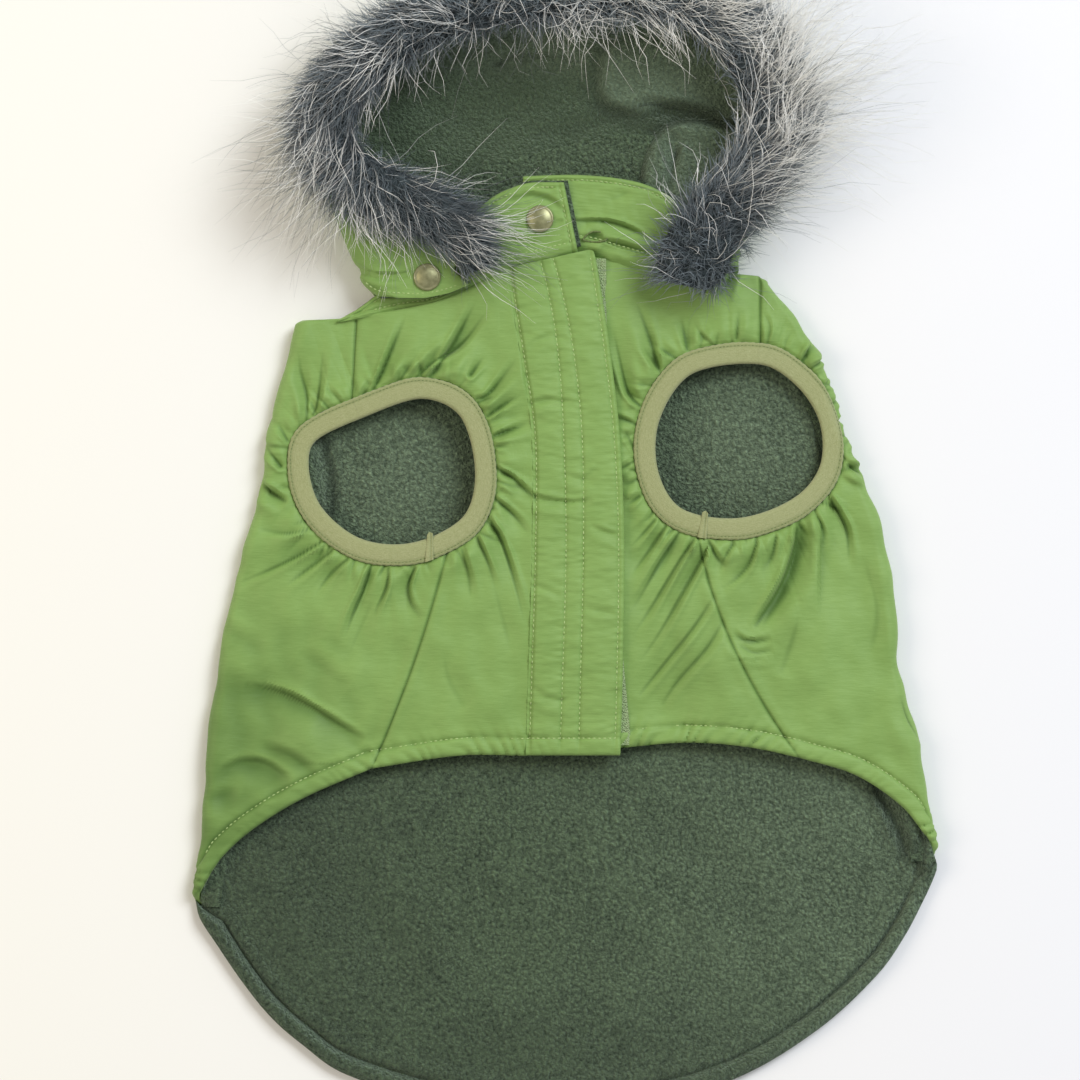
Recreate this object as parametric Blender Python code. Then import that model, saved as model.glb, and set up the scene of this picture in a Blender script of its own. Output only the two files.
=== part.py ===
"""A dog's parka, laid flat on its back with the belly side up.

The body is a flattened tube: a back panel on the table, side panels that roll round
both side folds, front panels that meet under a fly placket, and a fleece lining that
runs on below the hem as the tail flap. A hood on snaps lies open above the collar,
with a strip of long fur along its rim. Lengths in the tables are in millimetres.
X runs across the jacket, Y from tail to hood, Z up from the table.
"""

from collections import namedtuple
from math import cos, pi, radians, sin

import bpy
import numpy as np

MM = 0.001

# Cloth
SHELL = 1.0             # wall of the quilted shell cloth
FLEECE = 2.0            # wall of the fleece lining
COLLAR_FLEECE = 1.5     # thinner fleece inside the collar
GAP = 0.3               # air kept between neighbouring pieces
LOOSE = 0.7             # air between the shell and the lining that hangs in it
SEAM = 0.17             # each panel stands this far back from its seam line

# The flattened tube
FOLD = 5.0              # outer radius of the side folds
UNDER = 8.0             # how far the side panels run on under the fold to the side seam
BEND_WEIGHT = 30.0      # extra cloth length that a half turn counts for when rows are spread
ROWS = 5                # rows of facets from an armhole to a panel's edge
SIDE_STEPS = 9          # facets along a side seam
BACK_COLUMNS = 12       # facets across the back
FRONT_STEPS = 9         # facets along a front's edge under the placket
FLY_STEPS = 15          # stations along the placket and its tape

NECK_LEFT = 104.0       # the side seams' upper ends
NECK_RIGHT = 122.0
HEM_LEFT = -167.5       # and their lower ends
HEM_RIGHT = -146.5

# Front closure
PLACKET_RISE = 1.1      # the placket stands this proud of the front
PLACKET_WALL = 2.2      # its three layers of cloth
TAPE_WALL = 1.0         # hook tape under the placket's free edge
TUCK = PLACKET_WALL - PLACKET_RISE + TAPE_WALL + 3 * GAP    # the right front lies this much lower
TUCK_RUN = 45.0         # and rises again over this width
TAPE_SHOWS = 4.6        # tape seen past the placket at the neck and the hem
TAPE_HIDDEN = 9.0       # tape under the placket
TAPE_BACK = 0.6         # elsewhere the tape stops this far short of the placket's edge
FRONT_UNDER = 13.0      # the right front runs on this far under the placket
FLY_HEM = -96.8         # the placket's lower edge
FLY_NECK = 128.5        # its upper edge at the sewn side
FLY_PEAK = 137.5        # and at the free side

# Armhole binding
BINDING = 10.0          # width of the elastic
BIND_CORNER = 1.2       # bevel of its edges
BIND_RISE = 0.7         # the elastic stands this proud of the shell
LINING_BACK = 1.6       # the lining stops this far short of the elastic
BIND_WALL = SHELL + GAP + FLEECE + 2 * BIND_RISE

# Hood, collar and trim
FUR_HEIGHT = 19.0       # lie of the fur over the hood's rim
SNAP_RADIUS = 6.25
SNAP_HEIGHT = 2.2
HOOD_FLOOR_COLUMNS = 3
HOOD_FOLD_COLUMNS = 4
HOOD_WING_COLUMNS = 3

# Where the side folds lie, and how far the belly side crowns above them
Section = namedtuple("Section", "along left right crown")
BODY = [
    Section(136, -112, 74, 4.0),
    Section(126, -116, 91, 4.2),
    Section(104, -123, 108, 5.0),
    Section(79, -131, 120, 6.0),
    Section(54, -138, 128, 6.5),
    Section(33, -140, 137, 7.0),
    Section(7, -147, 146, 7.0),
    Section(-23, -156, 151, 7.0),
    Section(-55, -161, 155, 6.0),
    Section(-88, -165, 162, 3.5),
    Section(-112, -167, 167, 2.0),
    Section(-136, -169, 172, 1.5),
    Section(-170, -174, 175, 1.0),
]

# The fly placket: its sewn edge and its free edge
Fly = namedtuple("Fly", "along sewn free")
FLY = [
    Fly(140, -28, 13),
    Fly(86, -20, 21),
    Fly(49, -15, 25),
    Fly(-2, -15, 27),
    Fly(-67, -17, 26),
    Fly(-100, -18, 25),
]

# Armholes: outer edge of the binding, round from the shoulder seam by way of the side
ARMHOLE_LEFT = [(-99, 68), (-123.5, 55), (-129, 36), (-121, 12), (-98, -6), (-68, -8),
                (-40, 7), (-32, 34), (-41, 66), (-66, 78)]
ARMHOLE_RIGHT = [(90, 94), (113, 82), (127, 60), (127, 34), (111, 14), (80, 3),
                 (48, 9), (33, 32), (34, 62), (53, 88)]
# One stretch of a panel's outer edge: the places it passes, how many facets it takes,
# the armhole point that its end faces, and how far the cloth's rows bow there
Border = namedtuple("Border", "points steps facing bow")

# The hood, section by section from the neck up: side folds, how far its floor lifts,
# its bend, the angle that it turns through and the cloth past the bend
HoodRow = namedtuple("HoodRow", "along left right lift bend turn wing_left wing_right")
HOOD = [
    HoodRow(116, -88, 80, 0, 9.5, 180, 34, 29),
    HoodRow(131, -96, 81, 0, 9.5, 180, 34, 26),
    HoodRow(150, -106, 88, 0, 9.8, 180, 21, 18),
    HoodRow(170, -114, 94, 0, 10.5, 180, 8, 8),
    HoodRow(190, -118, 101, 0, 11.5, 180, 3, 6),
    HoodRow(208, -113, 98, 0, 12, 172, 4, 6),
    HoodRow(222, -104, 90, 1.5, 11.5, 158, 6, 6),
    HoodRow(236, -88, 77, 7, 9, 130, 5, 5),
    HoodRow(248, -68, 61, 14, 7, 90, 3, 3),
    HoodRow(256, -52, 48, 20, 6, 60, 1.5, 1.5),
]
HOOD_HEM_LEFT = 116.5   # lower edge of the hood's wings
HOOD_HEM_RIGHT = 130.0

# The fur strip's middle line, from its left end over the hood's top to its right end
Fur = namedtuple("Fur", "x y half base")
FUR = [
    Fur(-37, 127, 6, 19.4),
    Fur(-48, 145, 15, 20.0),
    Fur(-66, 161, 16, 22.0),
    Fur(-88, 173, 17, 23.5),
    Fur(-106, 188, 19, 25.0),
    Fur(-108, 205, 19, 25.5),
    Fur(-94, 222, 17, 26.6),
    Fur(-72, 238, 15, 26.8),
    Fur(-44, 247, 14, 26.8),
    Fur(-12, 252, 13, 27.0),
    Fur(20, 253, 13, 27.0),
    Fur(52, 248, 14, 26.8),
    Fur(76, 235, 16, 26.8),
    Fur(92, 216, 17, 26.2),
    Fur(98, 195, 17, 25.0),
    Fur(92, 176, 17, 24.0),
    Fur(80, 158, 18, 22.3),
    Fur(64, 142, 18, 20.4),
    Fur(51, 127, 12, 19.4),
    Fur(46, 119, 6, 19.4),
]

# Colours, roughness
GREEN = (0.235, 0.375, 0.105, 1.0)
FLEECE_GREEN = (0.055, 0.085, 0.048, 1.0)
BINDING_GREEN = (0.36, 0.37, 0.15, 1.0)
TAPE_GREEN = (0.30, 0.36, 0.16, 1.0)
FUR_SLATE = (0.07, 0.075, 0.09, 1.0)
BRASS_OLIVE = (0.26, 0.22, 0.12, 1.0)


# ---------------------------------------------------------------- curves and tables

def curve(points, count, closed=False):
    """Points at even steps along a smooth curve through the given ones."""
    points = np.array(points, float)
    total = len(points)
    dense = []
    for i in range(total if closed else total - 1):
        first, last = points[i], points[(i + 1) % total]
        before = points[i - 1] if closed or i else 2 * first - last
        after = points[(i + 2) % total] if closed or i + 2 < total else 2 * last - first
        t = np.linspace(0, 1, 25)[:-1, None]
        dense.append(0.5 * (2 * first + (last - before) * t
                            + (2 * before - 5 * first + 4 * last - after) * t ** 2
                            + (3 * first - before - 3 * last + after) * t ** 3))
    dense = np.vstack(dense + [points[:1] if closed else points[-1:]])
    run = np.concatenate([[0], np.cumsum(np.linalg.norm(np.diff(dense, axis=0), axis=1))])
    places = np.linspace(0, run[-1], count)
    return np.column_stack([np.interp(places, run, part) for part in dense.T])


def reader(rows, key, name):
    """A smooth function of the key column, from a table's named column."""
    places = curve([(getattr(row, key), getattr(row, name)) for row in rows], 240)
    places = places[np.argsort(places[:, 0])]
    return lambda value: np.interp(value, places[:, 0], places[:, 1])


body_left = reader(BODY, "along", "left")
body_right = reader(BODY, "along", "right")
body_crown = reader(BODY, "along", "crown")
fly_sewn = reader(FLY, "along", "sewn")
fly_free = reader(FLY, "along", "free")


# ---------------------------------------------------------------- the flattened tube

def fold_line(side, along):
    """Distance from the middle at which the cloth starts round the side fold."""
    return (body_right(along) if side > 0 else -body_left(along)) - FOLD


def side_seam(side, along):
    """The side seam's distance across the unrolled cloth."""
    return fold_line(side, along) + pi * FOLD + UNDER


def tube(across, along, depth, tuck=False):
    """A point of the body: across is measured over the cloth, depth inwards from its face."""
    across, along = np.broadcast_arrays(np.asarray(across, float), np.asarray(along, float))
    flat = np.where(across < 0, fold_line(-1, along), fold_line(1, along))
    reach = np.abs(across)
    turn = np.clip((reach - flat) / FOLD, 0, pi)
    under = np.clip(reach - flat - pi * FOLD, 0, None)
    x = np.minimum(reach, flat)
    crown = body_crown(along) * (1 - np.clip(x / flat, 0, 1) ** 4) ** 2
    crown = np.where(turn > 0, 0, crown)
    x = x + (FOLD - depth) * np.sin(turn) - under
    z = FOLD + (FOLD - depth) * np.cos(turn) + crown
    if tuck:
        past = across - fly_free(along) - TAPE_SHOWS
        z = z - TUCK * (1 - smooth_step(past / TUCK_RUN))
    return np.stack([np.sign(across) * x, along, z], axis=-1)


def smooth_step(value):
    value = np.clip(value, 0, 1)
    return value * value * (3 - 2 * value)


# ---------------------------------------------------------------- solids

def solid(name, outer, inner, material, wrap=False):
    """A closed wall between two grids of points; wrap joins the last column to the first."""
    rows, columns = outer.shape[:2]
    vertices = np.vstack([outer.reshape(-1, 3), inner.reshape(-1, 3)]) * MM
    half = rows * columns

    def at(row, column, back=0):
        return back * half + row * columns + column % columns

    faces = []
    steps = columns if wrap else columns - 1
    for row in range(rows - 1):
        for column in range(steps):
            ring = [(row, column), (row, column + 1), (row + 1, column + 1), (row + 1, column)]
            for corners in (ring[:3], [ring[0], ring[2], ring[3]]):
                faces.append([at(*corner) for corner in corners])
                faces.append([at(*corner, 1) for corner in reversed(corners)])
    for column in range(steps):
        faces.append([at(0, column), at(0, column, 1), at(0, column + 1, 1), at(0, column + 1)])
        last = rows - 1
        faces.append([at(last, column), at(last, column + 1),
                      at(last, column + 1, 1), at(last, column, 1)])
    if not wrap:
        for row in range(rows - 1):
            faces.append([at(row, 0), at(row + 1, 0), at(row + 1, 0, 1), at(row, 0, 1)])
            last = columns - 1
            faces.append([at(row, last), at(row, last, 1),
                          at(row + 1, last, 1), at(row + 1, last)])
    return shape(name, vertices, faces, material)


def shape(name, vertices, faces, material):
    """A mesh object whose faces are turned to point out of its closed body."""
    mesh = bpy.data.meshes.new(name)
    volume = 0.0
    for face in faces:
        for i in range(1, len(face) - 1):
            volume += np.dot(vertices[face[0]],
                             np.cross(vertices[face[i]], vertices[face[i + 1]]))
    if volume < 0:
        faces = [face[::-1] for face in faces]
    mesh.from_pydata([tuple(vertex) for vertex in vertices], [], faces)
    mesh.update()
    mesh.shade_smooth()
    mesh.set_sharp_from_angle(angle=radians(40))
    mesh.materials.append(material)
    made = bpy.data.objects.new(name, mesh)
    bpy.context.collection.objects.link(made)
    return made


def finish(name, colour, roughness, metallic=0.0):
    material = bpy.data.materials.new(name)
    material.use_nodes = True
    shader = material.node_tree.nodes["Principled BSDF"]
    shader.inputs["Base Color"].default_value = colour
    shader.inputs["Roughness"].default_value = roughness
    shader.inputs["Metallic"].default_value = metallic
    return material


# ---------------------------------------------------------------- panels round an armhole

def borders_left():
    hem = HEM_LEFT
    return [
        Border([(-97, 106), (-110, 105), (-side_seam(-1, NECK_LEFT), NECK_LEFT)], 7, (-126, 50), 0),
        Border([(-side_seam(-1, y), y) for y in np.linspace(NECK_LEFT, hem, SIDE_STEPS + 1)],
               SIDE_STEPS, (-116, 6), 0),
        Border([(-side_seam(-1, hem), hem), (-fold_line(-1, -166) - 15, -167),
                (-fold_line(-1, -162) - 8, -163), (-168, -157), (-160, -145),
                (-146, -132), (-122, -117), (-90, -103)], 9, (-55, -4), 2.5),
        Border([(-90, -103), (-50, -97), (fly_sewn(-97), -97)], 4, (-38, 10), 0),
        Border([(fly_sewn(y), y) for y in np.linspace(-97, 129, FRONT_STEPS)],
               FRONT_STEPS, (-46, 71), 0),
        Border([(fly_sewn(129), 129), (-42, 121), (-60, 113), (-97, 106)], 4, (-99, 68), 0),
    ]


def borders_right():
    hem = HEM_RIGHT
    return [
        Border([(90, 125), (94, 123.5), (side_seam(1, NECK_RIGHT), NECK_RIGHT)], 7, (124, 66), 0),
        Border([(side_seam(1, y), y) for y in np.linspace(NECK_RIGHT, hem, SIDE_STEPS + 1)],
               SIDE_STEPS, (118, 20), 0),
        Border([(side_seam(1, hem), hem), (fold_line(1, -145) + 15, -145.5),
                (fold_line(1, -141) + 8, -141), (166, -133), (155, -120),
                (134, -106), (108, -98)], 9, (61, 5), -7),
        Border([(108, -98), (84, -93), (54, -91), (fly_free(-95) - FRONT_UNDER, -95)], 4, (40, 18), 0),
        Border([(fly_free(y) - FRONT_UNDER, y) for y in np.linspace(-95, 134, FRONT_STEPS)],
               FRONT_STEPS, (44, 78), 0),
        Border([(fly_free(134) - FRONT_UNDER, 134), (22, 133), (53, 128.5), (90, 125)],
               4, (90, 94), 0),
    ]


def columns_round(armhole, borders):
    """Where each column of facets starts at the armhole and ends at the panel's edge."""
    edge = curve(armhole, 1441, closed=True)
    starts, ends, bows = [], [], []
    place, bow = 0, borders[-1].bow
    for border in borders:
        facing = int(np.argmin(np.linalg.norm(edge - border.facing, axis=1)))
        if facing <= place:
            facing = len(edge) - 1
        share = np.arange(border.steps) / border.steps
        starts.append(edge[np.rint(place + (facing - place) * share).astype(int)])
        given = len(border.points) == border.steps + 1
        line = np.array(border.points) if given else curve(border.points, border.steps + 1)
        ends.append(line[:-1])
        bows.append(bow + (border.bow - bow) * share)
        place, bow = facing, border.bow
    return np.vstack(starts), np.vstack(ends), np.concatenate(bows)


def rows_between(side, starts, ends, bows, count):
    """Rows of (across, along) from armhole to edge, closer together where the cloth bends."""
    share = np.linspace(0, 1, 61)[:, None, None]
    lines = starts + (ends - starts) * share
    lines[..., 0] += (4 * share * (1 - share))[..., 0] * bows
    turn = np.clip((np.abs(lines[..., 0]) - fold_line(side, lines[..., 1])) / FOLD, 0, pi)
    cost = np.linalg.norm(np.diff(lines, axis=0), axis=2)
    cost = cost + BEND_WEIGHT * np.abs(np.diff(turn, axis=0)) / pi
    run = np.vstack([np.zeros(len(starts)), np.cumsum(cost, axis=0)])
    grid = np.empty((count + 1, len(starts), 2))
    for column in range(len(starts)):
        places = np.linspace(0, run[-1, column], count + 1)
        for part in range(2):
            grid[:, column, part] = np.interp(places, run[:, column], lines[:, column, part])
    return grid


def step_in(grid, columns=(), rows=(), distance=SEAM):
    """Moves whole edge columns or rows of a grid towards their neighbours."""
    grid = grid.copy()
    for column, neighbour in columns:
        way = grid[:, neighbour] - grid[:, column]
        grid[:, column] += distance * way / np.linalg.norm(way, axis=-1, keepdims=True)
    for row, neighbour in rows:
        way = grid[neighbour] - grid[row]
        grid[row] += distance * way / np.linalg.norm(way, axis=-1, keepdims=True)
    return grid


def cloth(name, grid, near, far, material, tuck=False, wrap=False):
    """A panel of the tube between two depths, from its grid of (across, along)."""
    outer = tube(grid[..., 0], grid[..., 1], near, tuck)
    inner = tube(grid[..., 0], grid[..., 1], far, tuck)
    return solid(name, outer, inner, material, wrap)


def make_half(side, word, armhole, borders, shell, fleece, elastic):
    """One half of the belly side: side panel, front panel, their lining and the binding."""
    starts, ends, bows = columns_round(armhole, borders)
    seam = sum(border.steps for border in borders[:3])
    round_grid = rows_between(side, starts, ends, bows, ROWS)
    closed = np.concatenate([round_grid, round_grid[:, :1]], axis=1)
    tuck = side > 0
    free = [(0, 1), (-1, -2)]
    side_grid = step_in(closed[:, :seam + 1], columns=free, rows=[(-1, -2)])
    side_grid = step_in(side_grid, rows=[(0, 1)], distance=2 * SEAM)
    cloth("side_panel_" + word, side_grid, 0, SHELL, shell, tuck)
    front_grid = step_in(closed[:, seam:], columns=free, rows=[(0, 1), (-1, -2)])
    cloth("front_panel_" + word, front_grid, 0, SHELL, shell, tuck)
    lining_grid = step_in(round_grid, rows=[(0, 1)], distance=LINING_BACK)
    lining_grid = step_in(lining_grid, rows=[(-1, -2)])
    near = SHELL + LOOSE
    cloth("belly_lining_" + word, lining_grid, near, near + FLEECE, fleece, tuck, wrap=True)
    make_binding(word, starts, elastic, tuck)


def make_binding(word, starts, elastic, tuck):
    """Elastic folded over the armhole's edge, as a ring with rounded edges."""
    middle = starts.mean(axis=0)
    inward = np.roll(starts, -1, axis=0) - np.roll(starts, 1, axis=0)
    inward = np.column_stack([-inward[:, 1], inward[:, 0]])
    inward /= np.linalg.norm(inward, axis=1, keepdims=True)
    facing = np.sign(np.sum(inward * (middle - starts), axis=1))
    inward *= facing[:, None]
    outer = starts + inward * 2 * SEAM
    across = [0, BIND_CORNER, BINDING - BIND_CORNER, BINDING]
    bevel = [BIND_CORNER, 0, 0, BIND_CORNER]
    rows = [outer + inward * step for step in across]
    up = [tube(row[:, 0], row[:, 1], cut - BIND_RISE, tuck) for row, cut in zip(rows, bevel)]
    down = [tube(row[:, 0], row[:, 1], BIND_WALL - BIND_RISE - cut, tuck)
            for row, cut in zip(rows, bevel)]
    solid("armhole_binding_" + word, np.stack(up), np.stack(down), elastic, wrap=True)


# ---------------------------------------------------------------- fly placket and tape

def strip(name, left, right, near, far, material, count=4, tuck=False):
    """A strip of the front between two lines of (across, along), at two depths."""
    share = np.linspace(0, 1, count + 1)[:, None, None]
    grid = np.array(left) + (np.array(right) - np.array(left)) * share
    return cloth(name, grid, near, far, material, tuck)


def make_placket(shell):
    left = [(fly_sewn(y) + SEAM, y) for y in np.linspace(FLY_HEM, FLY_NECK, FLY_STEPS)]
    right = [(fly_free(y), y) for y in np.linspace(FLY_HEM, FLY_PEAK, FLY_STEPS)]
    strip("placket", left, right, -PLACKET_RISE, PLACKET_WALL - PLACKET_RISE, shell)


def make_tape(tape):
    stations = np.linspace(-92, 133, FLY_STEPS)
    ends = np.maximum(smooth_step((stations - 95) / 25), smooth_step((-60 - stations) / 20))
    shows = -TAPE_BACK + (TAPE_SHOWS + TAPE_BACK) * ends
    left = [(fly_free(y) - TAPE_HIDDEN, y) for y in stations]
    right = [(fly_free(y) + show, y) for y, show in zip(stations, shows)]
    near = PLACKET_WALL - PLACKET_RISE + GAP
    strip("closure_tape", left, right, near, near + TAPE_WALL, tape, count=2)


# ---------------------------------------------------------------- back and tail flap

TAIL = [(-171, -169), (-163, -184), (-150, -203), (-137, -219), (-122, -232), (-101, -246),
        (-54, -260), (-7, -264), (40, -259), (82, -246), (118, -224), (144, -200),
        (157, -182), (166, -164), (172, -148.5)]
WELT = 9.0              # rolled edge of the tail flap
WELT_RISE = 2.6         # how far it stands up
EDGE_RISE = 1.0         # and how far its outer edge does
SHELL_SHORT = 2.5       # the back shell stops this far short of the tail flap's edge
TAIL_MIDDLE = (0, -150)     # the tail's edge is drawn in towards this point


def neck_line(x):
    """The back of the neck, where the back panel ends and the hood's floor starts."""
    left, right = -side_edge(-1, NECK_LEFT), side_edge(1, NECK_RIGHT)
    return NECK_LEFT + (NECK_RIGHT - NECK_LEFT) * (x - left) / (right - left)


def back_grid(inset, shares):
    """Rows of (x, y) from the neck down the back and on to the tail's edge."""
    across = np.linspace(0, 1, BACK_COLUMNS + 1)
    rows = []
    for share in np.linspace(0, 1, SIDE_STEPS + 1):
        left_y = NECK_LEFT + (HEM_LEFT - NECK_LEFT) * share
        right_y = NECK_RIGHT + (HEM_RIGHT - NECK_RIGHT) * share
        left_x = -side_edge(-1, left_y)
        right_x = side_edge(1, right_y)
        x = left_x + (right_x - left_x) * across
        y = left_y + (right_y - left_y) * across
        if share == 0:
            y = neck_line(x) - GAP
        rows.append(np.column_stack([x, y]))
    outline = curve(TAIL, BACK_COLUMNS + 1)
    way = np.array(TAIL_MIDDLE) - outline
    outline = outline + inset * way / np.linalg.norm(way, axis=1, keepdims=True)
    last = rows[-1]
    length = np.linalg.norm(outline - last, axis=1, keepdims=True)
    welt = np.minimum(WELT, 0.5 * length) / length
    for inner, rolled in shares:
        rows.append(last + (outline - last) * (inner + rolled * welt))
    return np.array(rows)


def side_edge(side, along):
    """Where the back panel meets the side panel, under the side fold."""
    return fold_line(side, along) - UNDER - 2 * GAP


def make_back(shell, fleece):
    grid = back_grid(SHELL_SHORT, [(0.5, 0), (1, 0)])
    flat = np.zeros(grid.shape[:2] + (1,))
    solid("back_shell", np.concatenate([grid, flat], axis=2),
          np.concatenate([grid, flat + SHELL], axis=2), shell)
    grid = back_grid(0.0, [(0.5, -0.5), (1, -1), (1, -0.5), (1, 0)])
    under = np.full(grid.shape[:2] + (1,), SHELL + GAP)
    top = under + FLEECE
    top[-2] += WELT_RISE
    top[-1] += EDGE_RISE
    solid("back_lining", np.concatenate([grid, top], axis=2),
          np.concatenate([grid, under], axis=2), fleece)


# ---------------------------------------------------------------- hood

def hood_section(row, side, depth):
    """Half of one section of the hood, from the middle of its floor to its rim: (x, z) points."""
    edge = abs(row.right if side > 0 else row.left)
    wing = row.wing_right if side > 0 else row.wing_left
    flat = edge - row.bend
    turn = radians(row.turn)
    points = [(flat * share, row.lift + depth)
              for share in np.linspace(0, 1, HOOD_FLOOR_COLUMNS + 1)]
    for angle in np.linspace(0, turn, HOOD_FOLD_COLUMNS + 1)[1:]:
        points.append((flat + (row.bend - depth) * sin(angle),
                       row.lift + row.bend - (row.bend - depth) * cos(angle)))
    x, z = points[-1]
    for share in np.linspace(0, 1, HOOD_WING_COLUMNS + 1)[1:]:
        points.append((x + wing * share * cos(turn), z + wing * share * sin(turn)))
    return [(side * x, z) for x, z in points]


def hood_surface(depth):
    """The hood's grid at a depth inwards from its outer face."""
    grid = []
    for number, row in enumerate(HOOD):
        left = hood_section(row, -1, depth)[:0:-1]
        right = hood_section(row, 1, depth)
        section = np.array([(x, row.along, z) for x, z in left + right])
        if number == 0:
            section[:, 1] = hood_hem(section)
        grid.append(section)
    return np.array(grid)


def hood_hem(section):
    """The hood's lower edge: the neck line on its floor, then up round the folds to the wings."""
    fold = HOOD_FOLD_COLUMNS + HOOD_WING_COLUMNS
    total = len(section)
    y = neck_line(section[:, 0]) + GAP
    for index in range(total):
        from_end = min(index, total - 1 - index)
        if from_end < fold:
            hem = HOOD_HEM_LEFT if index < total / 2 else HOOD_HEM_RIGHT
            up = min(1.0, 2 * (fold - from_end) / HOOD_FOLD_COLUMNS)
            y[index] = y[index] + (hem - y[index]) * up
    return y


def make_hood(shell, fleece):
    solid("hood_shell", hood_surface(0), hood_surface(SHELL), shell)
    near = SHELL + LOOSE
    solid("hood_lining", hood_surface(near), hood_surface(near + FLEECE), fleece)


def make_fur(fur):
    """The reach of the fur: a flat-bottomed roll along the hood's rim."""
    path = curve(FUR, 41)
    along = np.gradient(path[:, :2], axis=0)
    side = np.column_stack([-along[:, 1], along[:, 0]])
    side /= np.linalg.norm(side, axis=1, keepdims=True)
    profile = [(-1, 0), (-0.95, 0.45), (-0.65, 0.85), (-0.2, 1.0), (0.2, 1.0),
               (0.65, 0.85), (0.95, 0.45), (1, 0)]
    sections = []
    for across, up in profile:
        ground = path[:, :2] + side * path[:, 2:3] * across
        full = np.minimum(1.0, 0.35 + path[:, 2] / 15)
        z = path[:, 3] + FUR_HEIGHT * up * full
        sections.append(np.column_stack([ground, z]))
    loops = np.array(sections)
    count, stations = loops.shape[:2]
    faces = []
    for i in range(count):
        for j in range(stations - 1):
            other = (i + 1) % count
            faces.append([i * stations + j, i * stations + j + 1,
                          other * stations + j + 1, other * stations + j])
    faces.append([i * stations for i in range(count)])
    faces.append([i * stations + stations - 1 for i in reversed(range(count))])
    shape("fur_trim", loops.reshape(-1, 3) * MM, faces, fur)


# ---------------------------------------------------------------- collar

TAB_LEVEL = 17.2        # outer face of the collar's overlapping tab
BAND_LEVEL = 13.6       # outer face of the band under it
COLLAR_SPREAD = 1.5     # fleece seen past the tab's end


def collar_piece(name, seam, top, levels, near, far, material, spread=0.0):
    """A collar band from its seam line to its top edge; levels are z at both lines' ends."""
    count = 11
    low = curve(seam, count)
    high = curve(top, count)
    share = np.linspace(0, 1, 4)[:, None, None]
    along = smooth_step((np.linspace(0, 1, count) - 0.3) / 0.5)
    grid = low + (high - low) * share
    grid[:, -1, 0] += spread
    low_z = levels[0][0] + (levels[0][1] - levels[0][0]) * along
    high_z = levels[1][0] + (levels[1][1] - levels[1][0]) * along
    z = (low_z + (high_z - low_z) * share[..., 0])[..., None]
    solid(name, np.concatenate([grid, z - near], axis=2),
          np.concatenate([grid, z - far], axis=2), material)


def make_collar(shell, fleece):
    inside = SHELL + GAP
    left_seam = [(-97, 107), (-77, 111.5), (-60, 114), (-42, 121.8), (-27, 130.5),
                 (-10, 134.8), (5, 138.5)]
    left_top = [(-96, 109), (-89, 111), (-73, 118.5), (-56, 137), (-38, 158),
                (-20, 167), (-1, 168)]
    left_levels = ((11.5, TAB_LEVEL - 0.4), (10.5, TAB_LEVEL))
    collar_piece("collar_left", left_seam, left_top, left_levels, 0, SHELL, shell)
    collar_piece("collar_left_lining", left_seam, left_top, left_levels,
                 inside, inside + COLLAR_FLEECE, fleece, COLLAR_SPREAD)
    right_seam = [(66, 129.5), (45, 131), (26, 136), (8, 141), (-18, 142)]
    right_top = [(66, 146), (52, 159), (34, 168), (8, 171.5), (-20, 171)]
    right_levels = ((BAND_LEVEL, BAND_LEVEL), (BAND_LEVEL, BAND_LEVEL))
    collar_piece("collar_right", right_seam, right_top, right_levels, 0, SHELL, shell)
    collar_piece("collar_right_lining", right_seam, right_top, right_levels,
                 inside, inside + COLLAR_FLEECE, fleece)
    level = SHELL + LOOSE + FLEECE + GAP + FLEECE
    back_seam = [(x, neck_line(x) + 3) for x in np.linspace(-58, 62, 7)]
    back_top = [(-60, 162), (-40, 175), (-21, 181), (6, 187), (32, 191), (52, 187), (64, 172)]
    collar_piece("collar_back", back_seam, back_top, ((level, level), (level, level)),
                 0, FLEECE, fleece)


# ---------------------------------------------------------------- snaps

def make_snap(name, x, y, level, brass):
    """A domed snap cap lying on the cloth."""
    sides = 20
    rings = [(1.0, 0.0), (1.0, 0.5), (0.9, 0.85), (0.5, 1.0)]
    vertices = [(x + SNAP_RADIUS * wide * cos(2 * pi * i / sides),
                 y + SNAP_RADIUS * wide * sin(2 * pi * i / sides),
                 level + SNAP_HEIGHT * up) for wide, up in rings for i in range(sides)]
    faces = [[ring * sides + i, ring * sides + (i + 1) % sides,
              (ring + 1) * sides + (i + 1) % sides, (ring + 1) * sides + i]
             for ring in range(len(rings) - 1) for i in range(sides)]
    faces.append(list(reversed(range(sides))))
    top = (len(rings) - 1) * sides
    faces.append([top + i for i in range(sides)])
    shape(name, np.array(vertices) * MM, faces, brass)


# ---------------------------------------------------------------- the whole jacket

def settle():
    """Puts the middle of the jacket's underside at the origin."""
    parts = [item for item in bpy.context.scene.objects if item.type == "MESH"]
    points = np.array([vertex.co for part in parts for vertex in part.data.vertices])
    low, high = points.min(axis=0), points.max(axis=0)
    shift = ((low[0] + high[0]) / 2, (low[1] + high[1]) / 2, low[2])
    for part in parts:
        for vertex in part.data.vertices:
            vertex.co = [vertex.co[i] - shift[i] for i in range(3)]


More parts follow.
